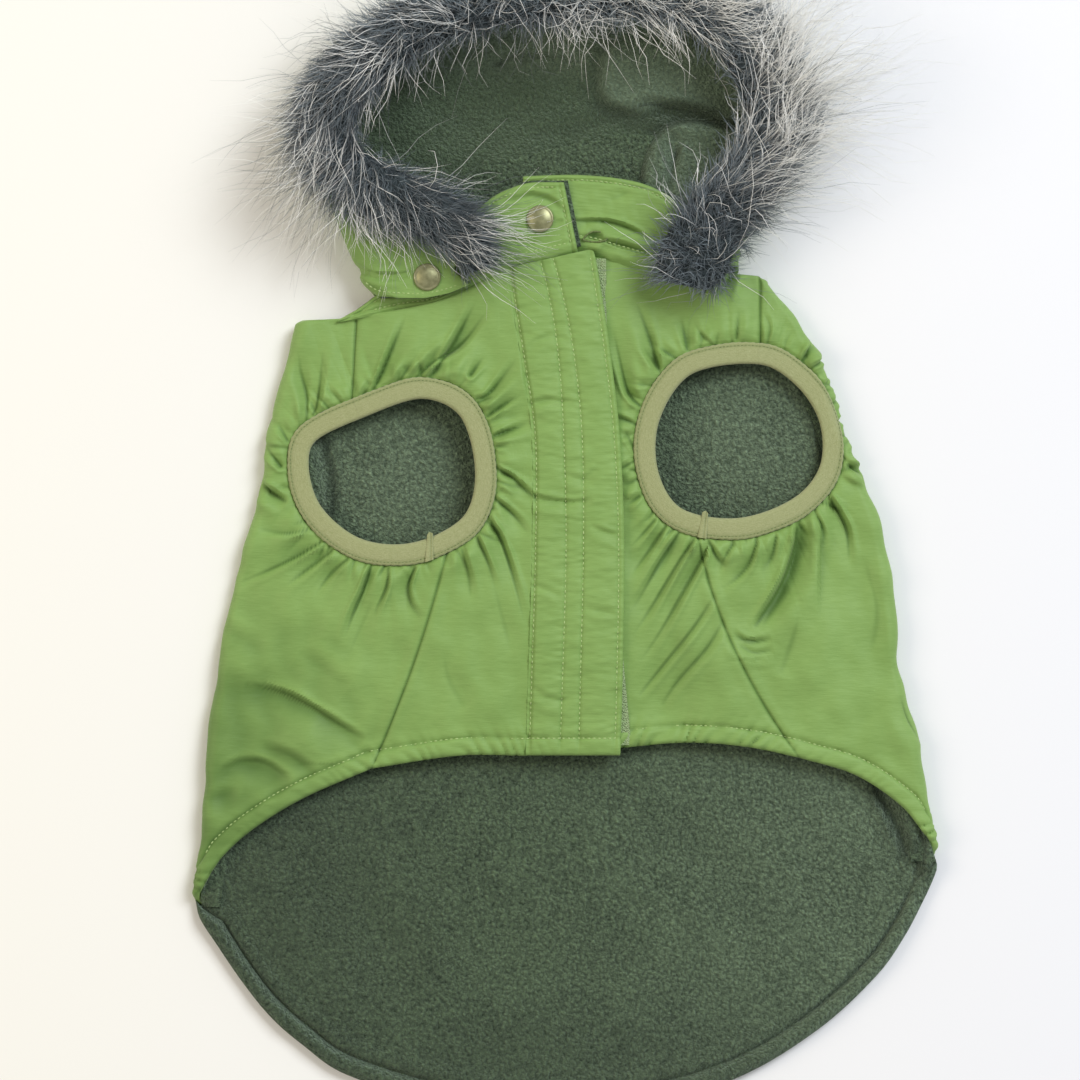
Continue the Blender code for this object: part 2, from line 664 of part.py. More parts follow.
def main():
    for item in list(bpy.data.objects):
        bpy.data.objects.remove(item)
    shell = finish("shell_cloth", GREEN, 0.55)
    fleece = finish("fleece", FLEECE_GREEN, 0.95)
    elastic = finish("elastic", BINDING_GREEN, 0.8)
    tape = finish("hook_tape", TAPE_GREEN, 0.85)
    fur = finish("fur", FUR_SLATE, 0.9)
    brass = finish("brass", BRASS_OLIVE, 0.45, 0.7)
    make_back(shell, fleece)
    make_half(-1, "left", ARMHOLE_LEFT, borders_left(), shell, fleece, elastic)
    make_half(1, "right", ARMHOLE_RIGHT, borders_right(), shell, fleece, elastic)
    make_placket(shell)
    make_tape(tape)
    make_hood(shell, fleece)
    make_collar(shell, fleece)
    make_fur(fur)
    make_snap("snap_collar", -12, 151, TAB_LEVEL + GAP, brass)
    make_snap("snap_hood", -64, 124, 2 * HOOD[0].bend + GAP, brass)
    settle()


main()
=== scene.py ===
"""The looks of a dog's parka that lies flat on its back, belly side up.

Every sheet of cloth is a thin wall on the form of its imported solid, with its folds,
gathers, seams and rolled hems as real relief. Stitches and fur are grown by node trees.
Lengths in the tables are in millimetres: X across the jacket, Y from tail to hood.
"""

from collections import namedtuple
from math import cos, pi, radians, sin

import bpy
import numpy as np
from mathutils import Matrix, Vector
from numpy.linalg import norm


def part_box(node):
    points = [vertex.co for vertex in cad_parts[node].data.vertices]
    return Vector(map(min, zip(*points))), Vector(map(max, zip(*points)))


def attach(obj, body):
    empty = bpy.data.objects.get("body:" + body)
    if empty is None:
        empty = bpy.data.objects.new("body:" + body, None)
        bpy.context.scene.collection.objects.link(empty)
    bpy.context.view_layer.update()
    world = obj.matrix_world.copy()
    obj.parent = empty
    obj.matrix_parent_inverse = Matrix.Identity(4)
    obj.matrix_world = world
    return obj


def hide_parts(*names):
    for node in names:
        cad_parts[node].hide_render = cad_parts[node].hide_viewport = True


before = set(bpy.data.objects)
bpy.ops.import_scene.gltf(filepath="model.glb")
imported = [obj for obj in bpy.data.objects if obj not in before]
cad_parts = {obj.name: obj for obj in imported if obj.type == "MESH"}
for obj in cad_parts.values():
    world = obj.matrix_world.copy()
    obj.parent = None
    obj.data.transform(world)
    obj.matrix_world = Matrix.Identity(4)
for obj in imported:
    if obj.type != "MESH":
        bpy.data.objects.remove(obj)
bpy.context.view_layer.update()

MM = 0.001

# Cloth
SHELL = 1.0  # wall of the padded shell cloth
FLEECE = 2.0  # wall of the fleece
COLLAR_FLEECE = 1.5
GAP = 0.3
LOOSE = 0.7  # air between shell and lining

# The flattened tube
FOLD = 5.0  # outer radius of the side folds
UNDER = 8.0  # the side panels run on this far under the fold
BEND_WEIGHT = 30.0
NECK_LEFT = 104.0
NECK_RIGHT = 122.0
HEM_LEFT = -167.5
HEM_RIGHT = -146.5

# Fineness of the body's grids
FINE = 18  # fine columns for each stretch of a panel's edge
ROWS = 96  # fine rows from an armhole to a panel's edge
BACK_STEP = (6, 9)  # a panel's hidden face takes every sixth row and ninth column
FLY_STEP = 12  # the same for the fly's cover, both ways
LINING_STEP = 10  # and for the back lining
PLAIN_STEP = 6  # and for the hood and the collar

# The folds' depths in the tables are taken this many times
FOLD_DEPTH = 2.1

# Front closure
PLACKET_RISE = 1.1
PLACKET_WALL = 2.2
TAPE_WALL = 1.0
TUCK = PLACKET_WALL - PLACKET_RISE + TAPE_WALL + 3 * GAP
TUCK_RUN = 45.0
TAPE_SHOWS = 4.6
TAPE_HIDDEN = 9.0
TAPE_BACK = 0.6
FRONT_UNDER = 13.0
FLY_HEM = -96.8
FLY_NECK = 128.5
FLY_PEAK = 137.5

# Armhole binding
BINDING = 10.0
BIND_RISE = 0.7
BIND_WALL = SHELL + GAP + FLEECE + 2 * BIND_RISE
BIND_STEPS = 504  # points round an armhole
LINING_BACK = 1.6

# Hem
HEM_BAND = 8.0  # from the hem's edge up to its stitching
STITCH_PITCH = 2.4
THREAD_UP = 0.12  # the thread's middle stands this far over the cloth


def table(kind, *rows):
    """Named rows from plain ones."""
    return [kind(*row) for row in rows]


Section = namedtuple("Section", "along left right crown")
BODY = table(Section,
    (136, -112, 74, 4),
    (126, -116, 91, 4.2),
    (104, -123, 108, 5),
    (79, -131, 120, 6),
    (54, -138, 128, 6.5),
    (33, -140, 137, 7),
    (7, -147, 146, 7),
    (-23, -156, 151, 7),
    (-55, -161, 155, 6),
    (-88, -165, 162, 3.5),
    (-112, -167, 167, 2),
    (-136, -169, 172, 1.5),
    (-170, -174, 175, 1),
)

# The fly: its sewn edge, its two inner rows of stitching and its free edge
Fly = namedtuple("Fly", "along sewn second third free")
FLY = table(Fly,
    (140, -28, -14, -8, 13),
    (114, -24.5, -7.5, -1, 17),
    (86, -20, -3.3, 4, 21),
    (49, -15, -1, 7.5, 25),
    (-2, -15, 0, 8, 27),
    (-67, -17, -1.8, 6.5, 26),
    (-100, -18, -3, 5.8, 25),
)

# Armholes: outer edge of the binding, round from the shoulder seam by way of the side
ARMHOLE_LEFT = [(-99, 68), (-123.5, 55), (-129, 36), (-121, 12), (-98, -6), (-68, -8),
                (-40, 7), (-32, 34), (-41, 66), (-66, 78)]
ARMHOLE_RIGHT = [(90, 94), (113, 82), (127, 60), (127, 34), (111, 14), (80, 3),
                 (48, 9), (33, 32), (34, 62), (53, 88)]

Border = namedtuple("Border", "points steps facing bow")

# Tail: the outline of the flap from the left corner to the right one
TAIL = [(-172, -164.5), (-170, -173), (-163, -184), (-150, -203), (-137, -219), (-122, -232),
        (-101, -246), (-54, -260), (-7, -264), (40, -259), (82, -246), (118, -224), (144, -200),
        (157, -182), (166, -165), (170.9, -154.3), (172.5, -149.0), (171.6, -145.2)]
WELT = 9.0
WELT_RISE = 3.3
SHELL_SHORT = 2.5
TAIL_MIDDLE = (0, -150)

HoodRow = namedtuple("HoodRow", "along left right lift bend turn wing_left wing_right")
HOOD = table(HoodRow,
    (116, -88, 80, 0, 9.5, 180, 34, 29),
    (120, -93, 80, 0, 9.5, 180, 34, 28),
    (124, -95.4, 80, 0, 9.5, 180, 34, 28),
    (127.5, -94.6, 81, 0, 9.5, 180, 34, 27),
    (132, -98.6, 81, 0, 9.5, 180, 34, 26),
    (150, -106, 88, 0, 9.8, 180, 21, 18),
    (170, -114, 94, 0, 10.5, 180, 8, 8),
    (190, -118, 101, 0, 11.5, 180, 3, 6),
    (208, -113, 98, 0, 12, 172, 4, 6),
    (222, -104, 90, 1.5, 11.5, 158, 6, 6),
    (236, -88, 77, 7, 9, 130, 5, 5),
    (248, -68, 61, 14, 7, 90, 3, 3),
    (256, -52, 48, 20, 6, 60, 1.5, 1.5),
)

# The fur strip: its middle line, half width, level, the way its long hair lies, how long and
# how plentiful that hair is, and how loosely it lies
Fur = namedtuple("Fur", "x y half base lie_x lie_y long pale loose")
FUR = table(Fur,
    (-41, 127, 7, 19.4, 0.8, -0.4, 0.7, 0.5, 0.8),
    (-47, 143, 14, 20, 0.9, -0.2, 0.9, 0.8, 0.8),
    (-66, 155, 16, 22, 0.6, -0.5, 0.8, 0.5, 1.2),
    (-88, 164, 17, 23.5, 0.1, -0.8, 0.9, 0.9, 1.3),
    (-105, 176, 17, 25, -0.6, -0.85, 1.05, 1.2, 1),
    (-111, 193, 18, 25.5, -0.55, -0.85, 1.05, 1.2, 1),
    (-105, 210, 17.5, 26.6, -0.6, -0.75, 0.95, 1.1, 1.1),
    (-88, 227, 16.5, 26.8, -0.7, -0.4, 0.9, 0.9, 1.3),
    (-66, 241, 16, 26.8, -0.5, 0.1, 0.85, 0.8, 1.5),
    (-39, 248, 14, 27, -0.2, 0.35, 0.8, 1, 1.5),
    (-3, 252, 13, 27, 0.3, 0, 0.8, 1.1, 1.5),
    (33, 253, 13, 27, 0.6, 0.1, 0.8, 1.3, 1.4),
    (60, 248, 15, 26.8, 0.7, 0.1, 0.8, 1.3, 0.8),
    (81, 233, 17, 26.2, 0.7, 0.3, 1, 1.4, 1.2),
    (92, 213, 18, 25.6, 0.8, 0.5, 1.3, 1.5, 1.1),
    (97, 195, 18, 25, 0.8, 0.4, 1.3, 1.6, 1),
    (90, 176, 18, 24, 0.6, 0.6, 1.2, 1.4, 1),
    (76, 158, 19, 22.3, 0.6, 0.5, 1, 1.1, 1.1),
    (64, 142, 21, 20.4, 0.1, 0.4, 0.85, 0.45, 1.4),
    (58, 130.5, 22.5, 19.4, -0.3, -0.1, 0.7, 0.25, 1.6),
    (56, 124, 19, 19.4, -0.5, -0.2, 0.7, 0.3, 1.5),
    (55, 120, 13, 19.4, -1, -0.2, 1, 0.6, 1),
)

# Folds of the cloth: where each runs, how deep and wide it is, which side is steeper
# (lean), and whether it starts at a seam (rooted) or fades at both ends (False)
Crease = namedtuple("Crease", "points depth wide lean rooted", defaults=(True,))
FOLDS_LEFT = table(Crease,
    ([(-120, 58), (-120, 69), (-123, 82), (-124, 95)], 2.2, 3, 0.3),
    ([(-117, 61), (-115, 67), (-112, 95)], 1.4, 1.6, -0.2),
    ([(-89, 72), (-81, 90), (-73, 109)], 2.4, 1.7, 0.5),
    ([(-95, 68), (-87, 79)], 1.4, 1.3, 0),
    ([(-77, 76), (-68, 90)], 1.2, 1.3, -0.3),
    ([(-63, 78), (-53, 92), (-40, 116)], 2.8, 1.8, 0.5),
    ([(-69, 78), (-60, 86), (-48, 94), (-33, 113)], 2.3, 1.5, -0.4),
    ([(-44, 79), (-37, 89)], 1.1, 1.4, 0),
    ([(-41, 68), (-35, 71), (-21, 89)], 1.5, 1.5, 0.3),
    ([(-36, 60), (-26, 67), (-18, 71)], 1.7, 1.4, -0.3),
    ([(-33, 51), (-22, 55), (-16, 59)], 1.6, 1.4, 0.3),
    ([(-32, 46), (-25, 46)], 1, 1.1, 0),
    ([(-32, 36), (-24, 31), (-15, 23), (-3, 20)], 1.8, 1.5, 0.4),
    ([(-33, 22), (-24, 14), (-16, 4)], 1.6, 1.5, 0.3),
    ([(-35, 12), (-29, 0), (-23, -20), (-18, -41)], 1.8, 1.9, 0.5),
    ([(-41, 4), (-36, -8), (-32, -22)], 1.6, 1.6, 0.5),
    ([(-48, -2), (-45, -14), (-44, -29)], 1.2, 1.8, 0.3),
    ([(-90, -9), (-94, -21), (-99, -33), (-103, -47)], 2.6, 1.9, -0.6),
    ([(-82, -10), (-83, -19), (-88, -30), (-89, -37)], 1.9, 1.5, 0.5),
    ([(-70, -10), (-73, -19), (-71, -28), (-64, -36)], 2, 1.5, 0.5),
    ([(-101, -6), (-109, -13), (-117, -24)], 1.7, 1.6, 0.4),
    ([(-108, -2), (-120, -11), (-135, -22)], 1.6, 1.8, 0.5),
    ([(-113, 2), (-127, -6), (-142, -13), (-157, -19)], 2.2, 1.9, 0.6),
    ([(-118, 8), (-130, 6), (-146, 9)], 1.3, 1.6, 0.4),
    ([(-129, 20), (-135, 24), (-142, 28)], 2.2, 1.8, -0.4, False),
    ([(-132, 37), (-136, 42), (-141, 48)], 1.6, 1.8, 0.2),
    ([(-129, 49), (-134, 58)], 1.2, 1.4, 0.2),
    ([(-149, -64), (-131, -68), (-117, -75), (-93, -90)], 1.7, 2.1, 0.7, False),
    ([(-124, -50), (-113, -57), (-101, -66)], 0.8, 5.5, 0.4, False),
    ([(-160, -104), (-150, -100), (-139, -101), (-127, -109)], 1.2, 2.2, 0.6, False),
    ([(-141, -93), (-128, -97), (-116, -106)], 0.8, 2.4, 0.3, False),
    ([(-166, -118), (-152, -114)], 0.6, 3, 0.3, False),
    ([(-162, -38), (-150, -43), (-138, -53)], 0.6, 4.5, 0.3, False),
    ([(-88, -22), (-96, -40), (-104, -58)], 0.9, 7, 0, False),
    ([(-57, -46), (-54, -62), (-46, -76)], 0.8, 6, 0.3, False),
    ([(-36, -10), (-30, -30), (-25, -52)], 0.7, 5, 0.3, False),
)
FOLDS_RIGHT = table(Crease,
    ([(43, 82), (38, 98), (31, 117)], 1.9, 2, -0.3),
    ([(34, 65), (28, 73), (21, 104)], 1.6, 1.8, 0.3),
    ([(56, 91), (53, 108)], 1.5, 1.8, 0.3),
    ([(77, 126), (67, 111)], 2.2, 1.6, -0.4),
    ([(69, 91), (71, 102)], 1, 1.3, 0),
    ([(79, 96), (80, 112)], 1.1, 1.4, 0.2),
    ([(109, 85), (113, 91), (118, 93)], 1.8, 1.5, 0.4),
    ([(114, 78), (119, 81)], 1.2, 1.3, 0),
    ([(120, 71), (125, 74)], 1.4, 1.3, 0.2),
    ([(32, 44), (26, 56)], 1.4, 1.4, 0.3),
    ([(33, 35), (26, 36)], 1.5, 1.4, 0),
    ([(34, 23), (27, 18)], 1.3, 1.3, 0.2),
    ([(41, 12), (34, 4), (27, -3)], 1.6, 1.5, 0.4),
    ([(46, 9), (37, -4), (28, -16)], 1.8, 1.6, 0.5),
    ([(52, 6), (42, -10), (34, -24), (28, -33)], 2, 1.8, -0.5),
    ([(59, 3), (51, -9), (39, -29), (28, -45)], 2.4, 2, 0.6),
    ([(64, -4), (56, -18), (42, -42), (29, -60)], 2, 2.2, 0.6),
    ([(69, -22), (60, -36), (45, -55), (33, -70)], 1.4, 2.2, 0.6, False),
    ([(73, -34), (65, -47), (52, -62), (44, -74)], 1.2, 2.4, 0.4, False),
    ([(66, 2), (71, -7), (78, -11)], 1.5, 1.5, 0.4),
    ([(77, 1), (72, -8), (71, -14)], 1.3, 1.4, 0.3),
    ([(88, 1), (84, -9), (76, -17), (69, -20)], 1.8, 1.7, 0.5),
    ([(97, 4), (95, -5), (90, -12)], 1.4, 1.4, 0.3),
    ([(107, 9), (105, -7), (99, -21), (89, -35)], 3, 2.1, -0.6),
    ([(105.5, 3), (103, -9), (97.5, -22), (87, -38)], 2.4, 2.2, -0.6, False),
    ([(102, -18), (91, -37)], 1, 4, 0.4, False),
    ([(123, 21), (130, 7), (131, -14)], 2.2, 2, 0.6),
    ([(116, 14), (119, 5), (117, -4)], 1.4, 1.5, 0.3),
    ([(129, 38), (140, 34)], 2.4, 1.6, 0.3, False),
    ([(77, -40), (84, -44), (95, -43)], 1.1, 1.6, 0.5, False),
    ([(80, -46), (87, -49), (96, -48)], 0.8, 1.5, 0.4, False),
    ([(109, -24), (105, -42), (99, -60)], 1.1, 6, 0, False),
    ([(155, -70), (165, -92)], 1, 3, 0.2, False),
    ([(138, -5), (144, -30), (141, -52)], 0.8, 5, 0.2, False),
)
FOLDS_FLY = table(Crease,
    ([(-26, 34), (-15, 23), (4, 20), (12, 22)], 1, 1.5, 0.4, False),
    ([(-22, 60), (-12, 67), (6, 66)], 0.7, 1.5, 0.3, False),
    ([(11, 9), (25, 4)], 0.6, 1.4, 0.3, False),
    ([(9, -29), (23, -31)], 0.5, 1.3, 0, False),
    ([(-16, -18), (-2, -23)], 0.4, 1.4, 0, False),
    ([(-1, 33), (8, 31), (15, 36)], 0.5, 1.4, 0.3, False),
    ([(-16, -66), (-6, -71), (3, -70)], 0.4, 1.5, 0.2, False),
    ([(-18, 92), (-8, 97), (2, 95)], 0.5, 1.5, 0.2, False),
)


# ---- curves and tables

def curve(points, count, closed=False):
    """Points at even steps along a smooth curve through the given ones."""
    points = np.array(points, float)
    total = len(points)
    dense = []
    for i in range(total if closed else total - 1):
        first, last = points[i], points[(i + 1) % total]
        before = points[i - 1] if closed or i else 2 * first - last
        after = points[(i + 2) % total] if closed or i + 2 < total else 2 * last - first
        t = np.linspace(0, 1, 25)[:-1, None]
        dense.append(0.5 * (2 * first + (last - before) * t
                            + (2 * before - 5 * first + 4 * last - after) * t ** 2
                            + (3 * first - before - 3 * last + after) * t ** 3))
    dense = np.vstack(dense + [points[:1] if closed else points[-1:]])
    run = np.concatenate([[0], np.cumsum(norm(np.diff(dense, axis=0), axis=1))])
    places = np.linspace(0, run[-1], count)
    return np.column_stack([np.interp(places, run, part) for part in dense.T])


def reader(rows, name):
    """A smooth function of the place along the jacket, from a table's named column."""
    places = curve([(row.along, getattr(row, name)) for row in rows], 240)
    places = places[np.argsort(places[:, 0])]
    return lambda value: np.interp(value, places[:, 0], places[:, 1])


def slope(value):
    """0 below 0, 1 above 1, and an easy rise between."""
    value = np.clip(value, 0, 1)
    return value * value * (3 - 2 * value)


def brink(distance, wide):
    """1 at an edge, falling to 0 at this far from it."""
    return np.clip(1 - distance / wide, 0, 1) ** 2


def hump(distance, wide):
    """1 at no distance, falling softly to nothing within a few widths."""
    return np.exp(-(distance / wide) ** 2)


body_left, body_right, body_crown = (reader(BODY, name) for name in Section._fields[1:])
fly_sewn, fly_second, fly_third, fly_free = (reader(FLY, name) for name in Fly._fields[1:])
hood_read = {name: reader(HOOD, name) for name in HoodRow._fields[1:]}


def shift_of_frame():
    """The step from the tables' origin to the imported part's, read from the collar's snap."""
    low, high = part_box("snap_collar")
    middle = (low + high) / 2
    return np.array([middle.x + 12 * MM, middle.y - 151 * MM, 0])


SHIFT = shift_of_frame()


def place(points):
    """Table millimetres to metres in the frame."""
    return np.asarray(points, float) * MM + SHIFT


# ---- the lie of the cloth

def nearest(line, x, y):
    """Distance to a line of points, share of the line's run, and side of it."""
    steps = norm(np.diff(line, axis=0), axis=1)
    run = np.concatenate([[0], np.cumsum(steps)]) / steps.sum()
    best = np.full(np.shape(x), 1e12)
    share = np.zeros(np.shape(x))
    side = np.zeros(np.shape(x))
    for i in range(len(line) - 1):
        step_x, step_y = line[i + 1] - line[i]
        off_x, off_y = x - line[i][0], y - line[i][1]
        t = np.clip((off_x * step_x + off_y * step_y) / (steps[i] ** 2 + 1e-9), 0, 1)
        off_x, off_y = off_x - t * step_x, off_y - t * step_y
        away = off_x ** 2 + off_y ** 2
        closer = away < best
        best = np.where(closer, away, best)
        share = np.where(closer, run[i] + t * (run[i + 1] - run[i]), share)
        side = np.where(closer, np.sign(step_x * off_y - step_y * off_x), side)
    return np.sqrt(best), np.clip(share, 0, 1), side


def swell(x, y, length, seed, stretch=1.0):
    """A soft uneven field of about -1 to 1; its swells are `length` across."""
    random = np.random.default_rng(seed)
    total = np.zeros(np.shape(x))
    for _ in range(7):
        angle, first, second = random.uniform(0, 2 * pi, 3)
        size = length * random.uniform(0.7, 1.5)
        ahead = (x * cos(angle) / stretch + y * sin(angle)) * 2 * pi / size
        aside = (y * cos(angle) - x * sin(angle) / stretch) * 2 * pi / (1.7 * size)
        total += np.sin(ahead + first + 0.9 * np.sin(aside + second))
    return total / 3.2


def folded(x, y, creases, finest=0.8):
    """Height of the cloth over its plain form, with a trough and two shoulders for each crease,
    and the shade painted along the dark bottom of each, which is `finest` wide or more."""
    height = np.zeros(np.shape(x))
    shade = np.zeros(np.shape(x))
    for crease in creases:
        line = curve(crease.points, 4 * len(crease.points))
        reach = 5 * crease.wide
        near = np.nonzero((x > line[:, 0].min() - reach) & (x < line[:, 0].max() + reach)
                          & (y > line[:, 1].min() - reach) & (y < line[:, 1].max() + reach))
        if not len(near[0]):
            continue
        distance, share, side = nearest(line, x[near], y[near])
        if crease.rooted:
            depth = (1 - slope(share)) ** 0.8
            wide = crease.wide * (0.7 + 0.7 * share)
        else:
            depth = np.clip(np.sin(pi * share), 0, 1) ** 0.7
            wide = crease.wide
        lean = 1 + crease.lean * side * slope(distance / wide)
        away = np.sqrt(distance ** 2 + (0.24 * wide) ** 2) / wide * lean
        trough = 0.8 * np.exp(-1.7 * away) + 0.3 * hump(away, 1.8) - 0.40 * hump(away - 2.2, 1.0)
        height[near] -= FOLD_DEPTH * crease.depth * depth * trough
        # Painted shade along the crease's bottom.
        line_width = max(finest, 0.3 * min(crease.wide, 4.0))
        strength = min(1.0, 2.6 / crease.wide)
        dark = strength * np.minimum(0.75 * crease.depth * depth, 1) * hump(distance, line_width)
        shade[near] = np.maximum(shade[near], dark)
    return height, shade


def gathers(edge, count, seed):
    """Small gathers where the elastic draws the cloth in round an armhole."""
    random = np.random.default_rng(seed)
    middle = edge.mean(axis=0)
    made = []
    for number in range(count):
        at = int((number + random.uniform(-0.35, 0.35)) / count * (len(edge) - 1)) % (len(edge) - 1)
        along = edge[at + 1] - edge[at - 1 if at else len(edge) - 2]
        out = np.array([along[1], -along[0]]) / norm(along)
        if np.dot(out, edge[at] - middle) < 0:
            out = -out
        angle = random.uniform(-0.5, 0.5)
        way = np.array([out[0] * cos(angle) - out[1] * sin(angle),
                        out[0] * sin(angle) + out[1] * cos(angle)])
        length = random.uniform(4, 20)
        bend = np.array([-way[1], way[0]]) * random.uniform(-0.15, 0.15) * length
        start = edge[at] - out * 0.5
        points = [start, start + way * length * 0.5 + bend, start + way * length]
        made.append(Crease(points, random.uniform(0.4, 1.3), random.uniform(0.9, 1.4),
                           random.uniform(-0.4, 0.4)))
    return made


def pleats(ring, share):
    """Puffs that fan out from the elastic round an armhole, with narrow valleys between them."""
    turn = 2 * pi * share
    height = np.zeros(np.shape(ring))
    for number, strength, phase in ((17, 1.0, 0.4), (26, 0.75, 2.1), (41, 0.4, 4.0)):
        slant = 0.035 * ring * np.sin(3 * turn + phase)
        wave = number * turn / 2 + phase + 1.3 * np.sin(4 * turn + phase) + slant
        height += strength * (np.abs(np.sin(wave)) ** 0.8 - 0.7)
    reach = 14 + 6 * np.sin(3 * turn + 1) + 4 * np.sin(7 * turn + 2)
    return 1.4 * height * np.exp(-(ring / reach) ** 1.4) * slope(ring / 2.0)


def hem_relief(distance, run, pucker):
    """The padded hem: a soft band, its row of stitching and slanting puckers; run in mm."""
    band = np.clip(distance / HEM_BAND, 0, 1)
    height = 0.75 * np.clip(np.sin(pi * band), 0, 1) ** 0.8
    height -= 0.85 * hump(distance - HEM_BAND, 0.75)
    height += 0.30 * hump(distance - HEM_BAND - 3.2, 2.2)
    height -= 1.0 * brink(distance, 1.6)
    slant = 2 * pi * (run / 6.2 + distance / 10.0) + 3.4 * swell(run, 0 * run, 26, 61)
    bunch = np.clip(0.6 + 0.7 * swell(run, 0 * run, 34, 62), 0.25, 1.3)
    strength = 3.3 * pucker * bunch * np.exp(-(distance / 9) ** 2)
    return height + strength * (np.abs(np.sin(slant / 2)) ** 0.7 * 1.6 - 1.0)


def seam_relief(distance):
    """A plain seam: a narrow valley between two soft lips."""
    return 0.28 * hump(distance - 3.0, 1.9) - 0.9 * hump(distance, 0.85)


# ---- the flattened tube

def fold_line(side, along):
    """From the middle to where the cloth starts to turn round the side fold."""
    return (body_right(along) if side > 0 else -body_left(along)) - FOLD


def side_seam(side, along):
    """From the middle to the side seam, measured over the cloth, round the fold."""
    return fold_line(side, along) + pi * FOLD + UNDER


def side_edge(side, along):
    """From the middle to the edge of the back's sheets, inside the fold."""
    return fold_line(side, along) - UNDER - 2 * GAP


def tube(across, along, depth, tuck=False):
    """A point of the body: across is measured over the cloth, depth inwards from its face."""
    across, along = np.broadcast_arrays(np.asarray(across, float), np.asarray(along, float))
    flat = np.where(across < 0, fold_line(-1, along), fold_line(1, along))
    reach = np.abs(across)
    turn = np.clip((reach - flat) / FOLD, 0, pi)
    under = np.clip(reach - flat - pi * FOLD, 0, None)
    x = np.minimum(reach, flat)
    crown = body_crown(along) * (1 - np.clip(x / flat, 0, 1) ** 4) ** 2
    crown = np.where(turn > 0, 0, crown)
    x = x + (FOLD - depth) * np.sin(turn) - under
    z = FOLD + (FOLD - depth) * np.cos(turn) + crown
    if tuck:
        past = across - fly_free(along) - TAPE_SHOWS
        z = z - TUCK * (1 - slope(past / TUCK_RUN))
    return np.stack([np.sign(across) * x, along, np.maximum(z, 0.02)], axis=-1)


# ---- meshes

def put(name, data):
    """A new object at the origin, linked into the scene."""
    made = bpy.data.objects.new(name, data)
    bpy.context.scene.collection.objects.link(made)
    return made


def set_marks(mesh, marks):
    """Gives each of the mesh's points its values, by label."""
    for label, values in marks.items():
        attribute = mesh.attributes.new(label, "FLOAT", "POINT")
        attribute.data.foreach_set("value", values.astype(np.float32))


def mesh_piece(name, points, quads, triangles, finish, cloth=None, marks=None):
    """A closed mesh in the frame, its faces turned outwards; cloth gives its own map."""
    points = place(points)
    volume = 0.0
    for faces in (quads[:, [0, 1, 2]], quads[:, [0, 2, 3]], triangles):
        a, b, c = (points[faces[:, i]] for i in range(3))
        volume += np.einsum("ij,ij->i", a, np.cross(b, c)).sum()
    if volume < 0:
        quads, triangles = quads[:, ::-1], triangles[:, ::-1]
    corners = np.concatenate([quads.ravel(), triangles.ravel()]).astype(np.int32)
    starts = np.concatenate([np.arange(len(quads)) * 4,
                             len(quads) * 4 + np.arange(len(triangles)) * 3]).astype(np.int32)
    mesh = bpy.data.meshes.new(name)
    mesh.vertices.add(len(points))
    mesh.vertices.foreach_set("co", points.astype(np.float32).ravel())
    mesh.loops.add(len(corners))
    mesh.loops.foreach_set("vertex_index", corners)
    mesh.polygons.add(len(starts))
    mesh.polygons.foreach_set("loop_start", starts)
    mesh.update(calc_edges=True)
    mesh.validate()
    if cloth is not None:
        layer = mesh.uv_layers.new(name="cloth")
        layer.data.foreach_set("uv", (cloth[corners] * MM).astype(np.float32).ravel())
    set_marks(mesh, marks or {})
    mesh.shade_smooth()
    mesh.set_sharp_from_angle(angle=radians(65))
    mesh.materials.append(finish)
    return put(name, mesh)


def grid_quads(rows, columns, start=0, wrap=False):
    row = np.arange(rows - 1)[:, None]
    column = np.arange(columns if wrap else columns - 1)[None, :]
    here = row * columns + column
    right = row * columns + (column + 1) % columns
    return np.stack([here, right, right + columns, here + columns], -1).reshape(-1, 4) + start


def closing_quads(rows, columns, wrap=False):
    """Faces from a grid's last row back to its first."""
    here = np.arange(columns if wrap else columns - 1)
    right = (here + 1) % columns
    last = (rows - 1) * columns
    return np.stack([last + here, last + right, right, here], 1)


def rim(fine, coarse, outward):
    """Triangles that close a wall's edge, from a fine line of points to a coarser one."""
    step = (len(fine) - 1) // (len(coarse) - 1)
    first = np.arange(len(fine) - 1)
    fans = np.stack([fine[first], fine[first + 1], coarse[first // step]], axis=1)
    joins = np.stack([coarse[:-1], fine[step::step], coarse[1:]], axis=1)
    faces = np.vstack([fans, joins])
    return faces if outward else faces[:, ::-1]


def wall(name, face, back, finish, cloth, wrap=False, marks=None):
    """A sheet with a fine face and a coarser back, closed round its edge."""
    rows, columns = face.shape[:2]
    back_rows, back_columns = back.shape[:2]
    row_step = (rows - 1) // (back_rows - 1)
    column_step = columns // back_columns if wrap else (columns - 1) // (back_columns - 1)
    front = np.arange(rows * columns).reshape(rows, columns)
    rear = rows * columns + np.arange(back_rows * back_columns).reshape(back_rows, back_columns)
    if wrap:
        front = np.hstack([front, front[:, :1]])
        rear = np.hstack([rear, rear[:, :1]])
    quads = np.vstack([grid_quads(rows, columns, 0, wrap),
                       grid_quads(back_rows, back_columns, rows * columns, wrap)[:, ::-1]])
    rims = [rim(front[0], rear[0], False), rim(front[-1], rear[-1], True)]
    if not wrap:
        rims += [rim(front[:, 0], rear[:, 0], True), rim(front[:, -1], rear[:, -1], False)]
    cloth_back = cloth[::row_step, ::column_step]
    points = np.vstack([face.reshape(-1, 3), back.reshape(-1, 3)])
    cloth = np.vstack([cloth.reshape(-1, 2), cloth_back.reshape(-1, 2)])
    full = {label: np.concatenate([values.ravel(), np.zeros(back_rows * back_columns)])
            for label, values in (marks or {}).items()}
    return mesh_piece(name, points, quads, np.vstack(rims), finish, cloth, full)


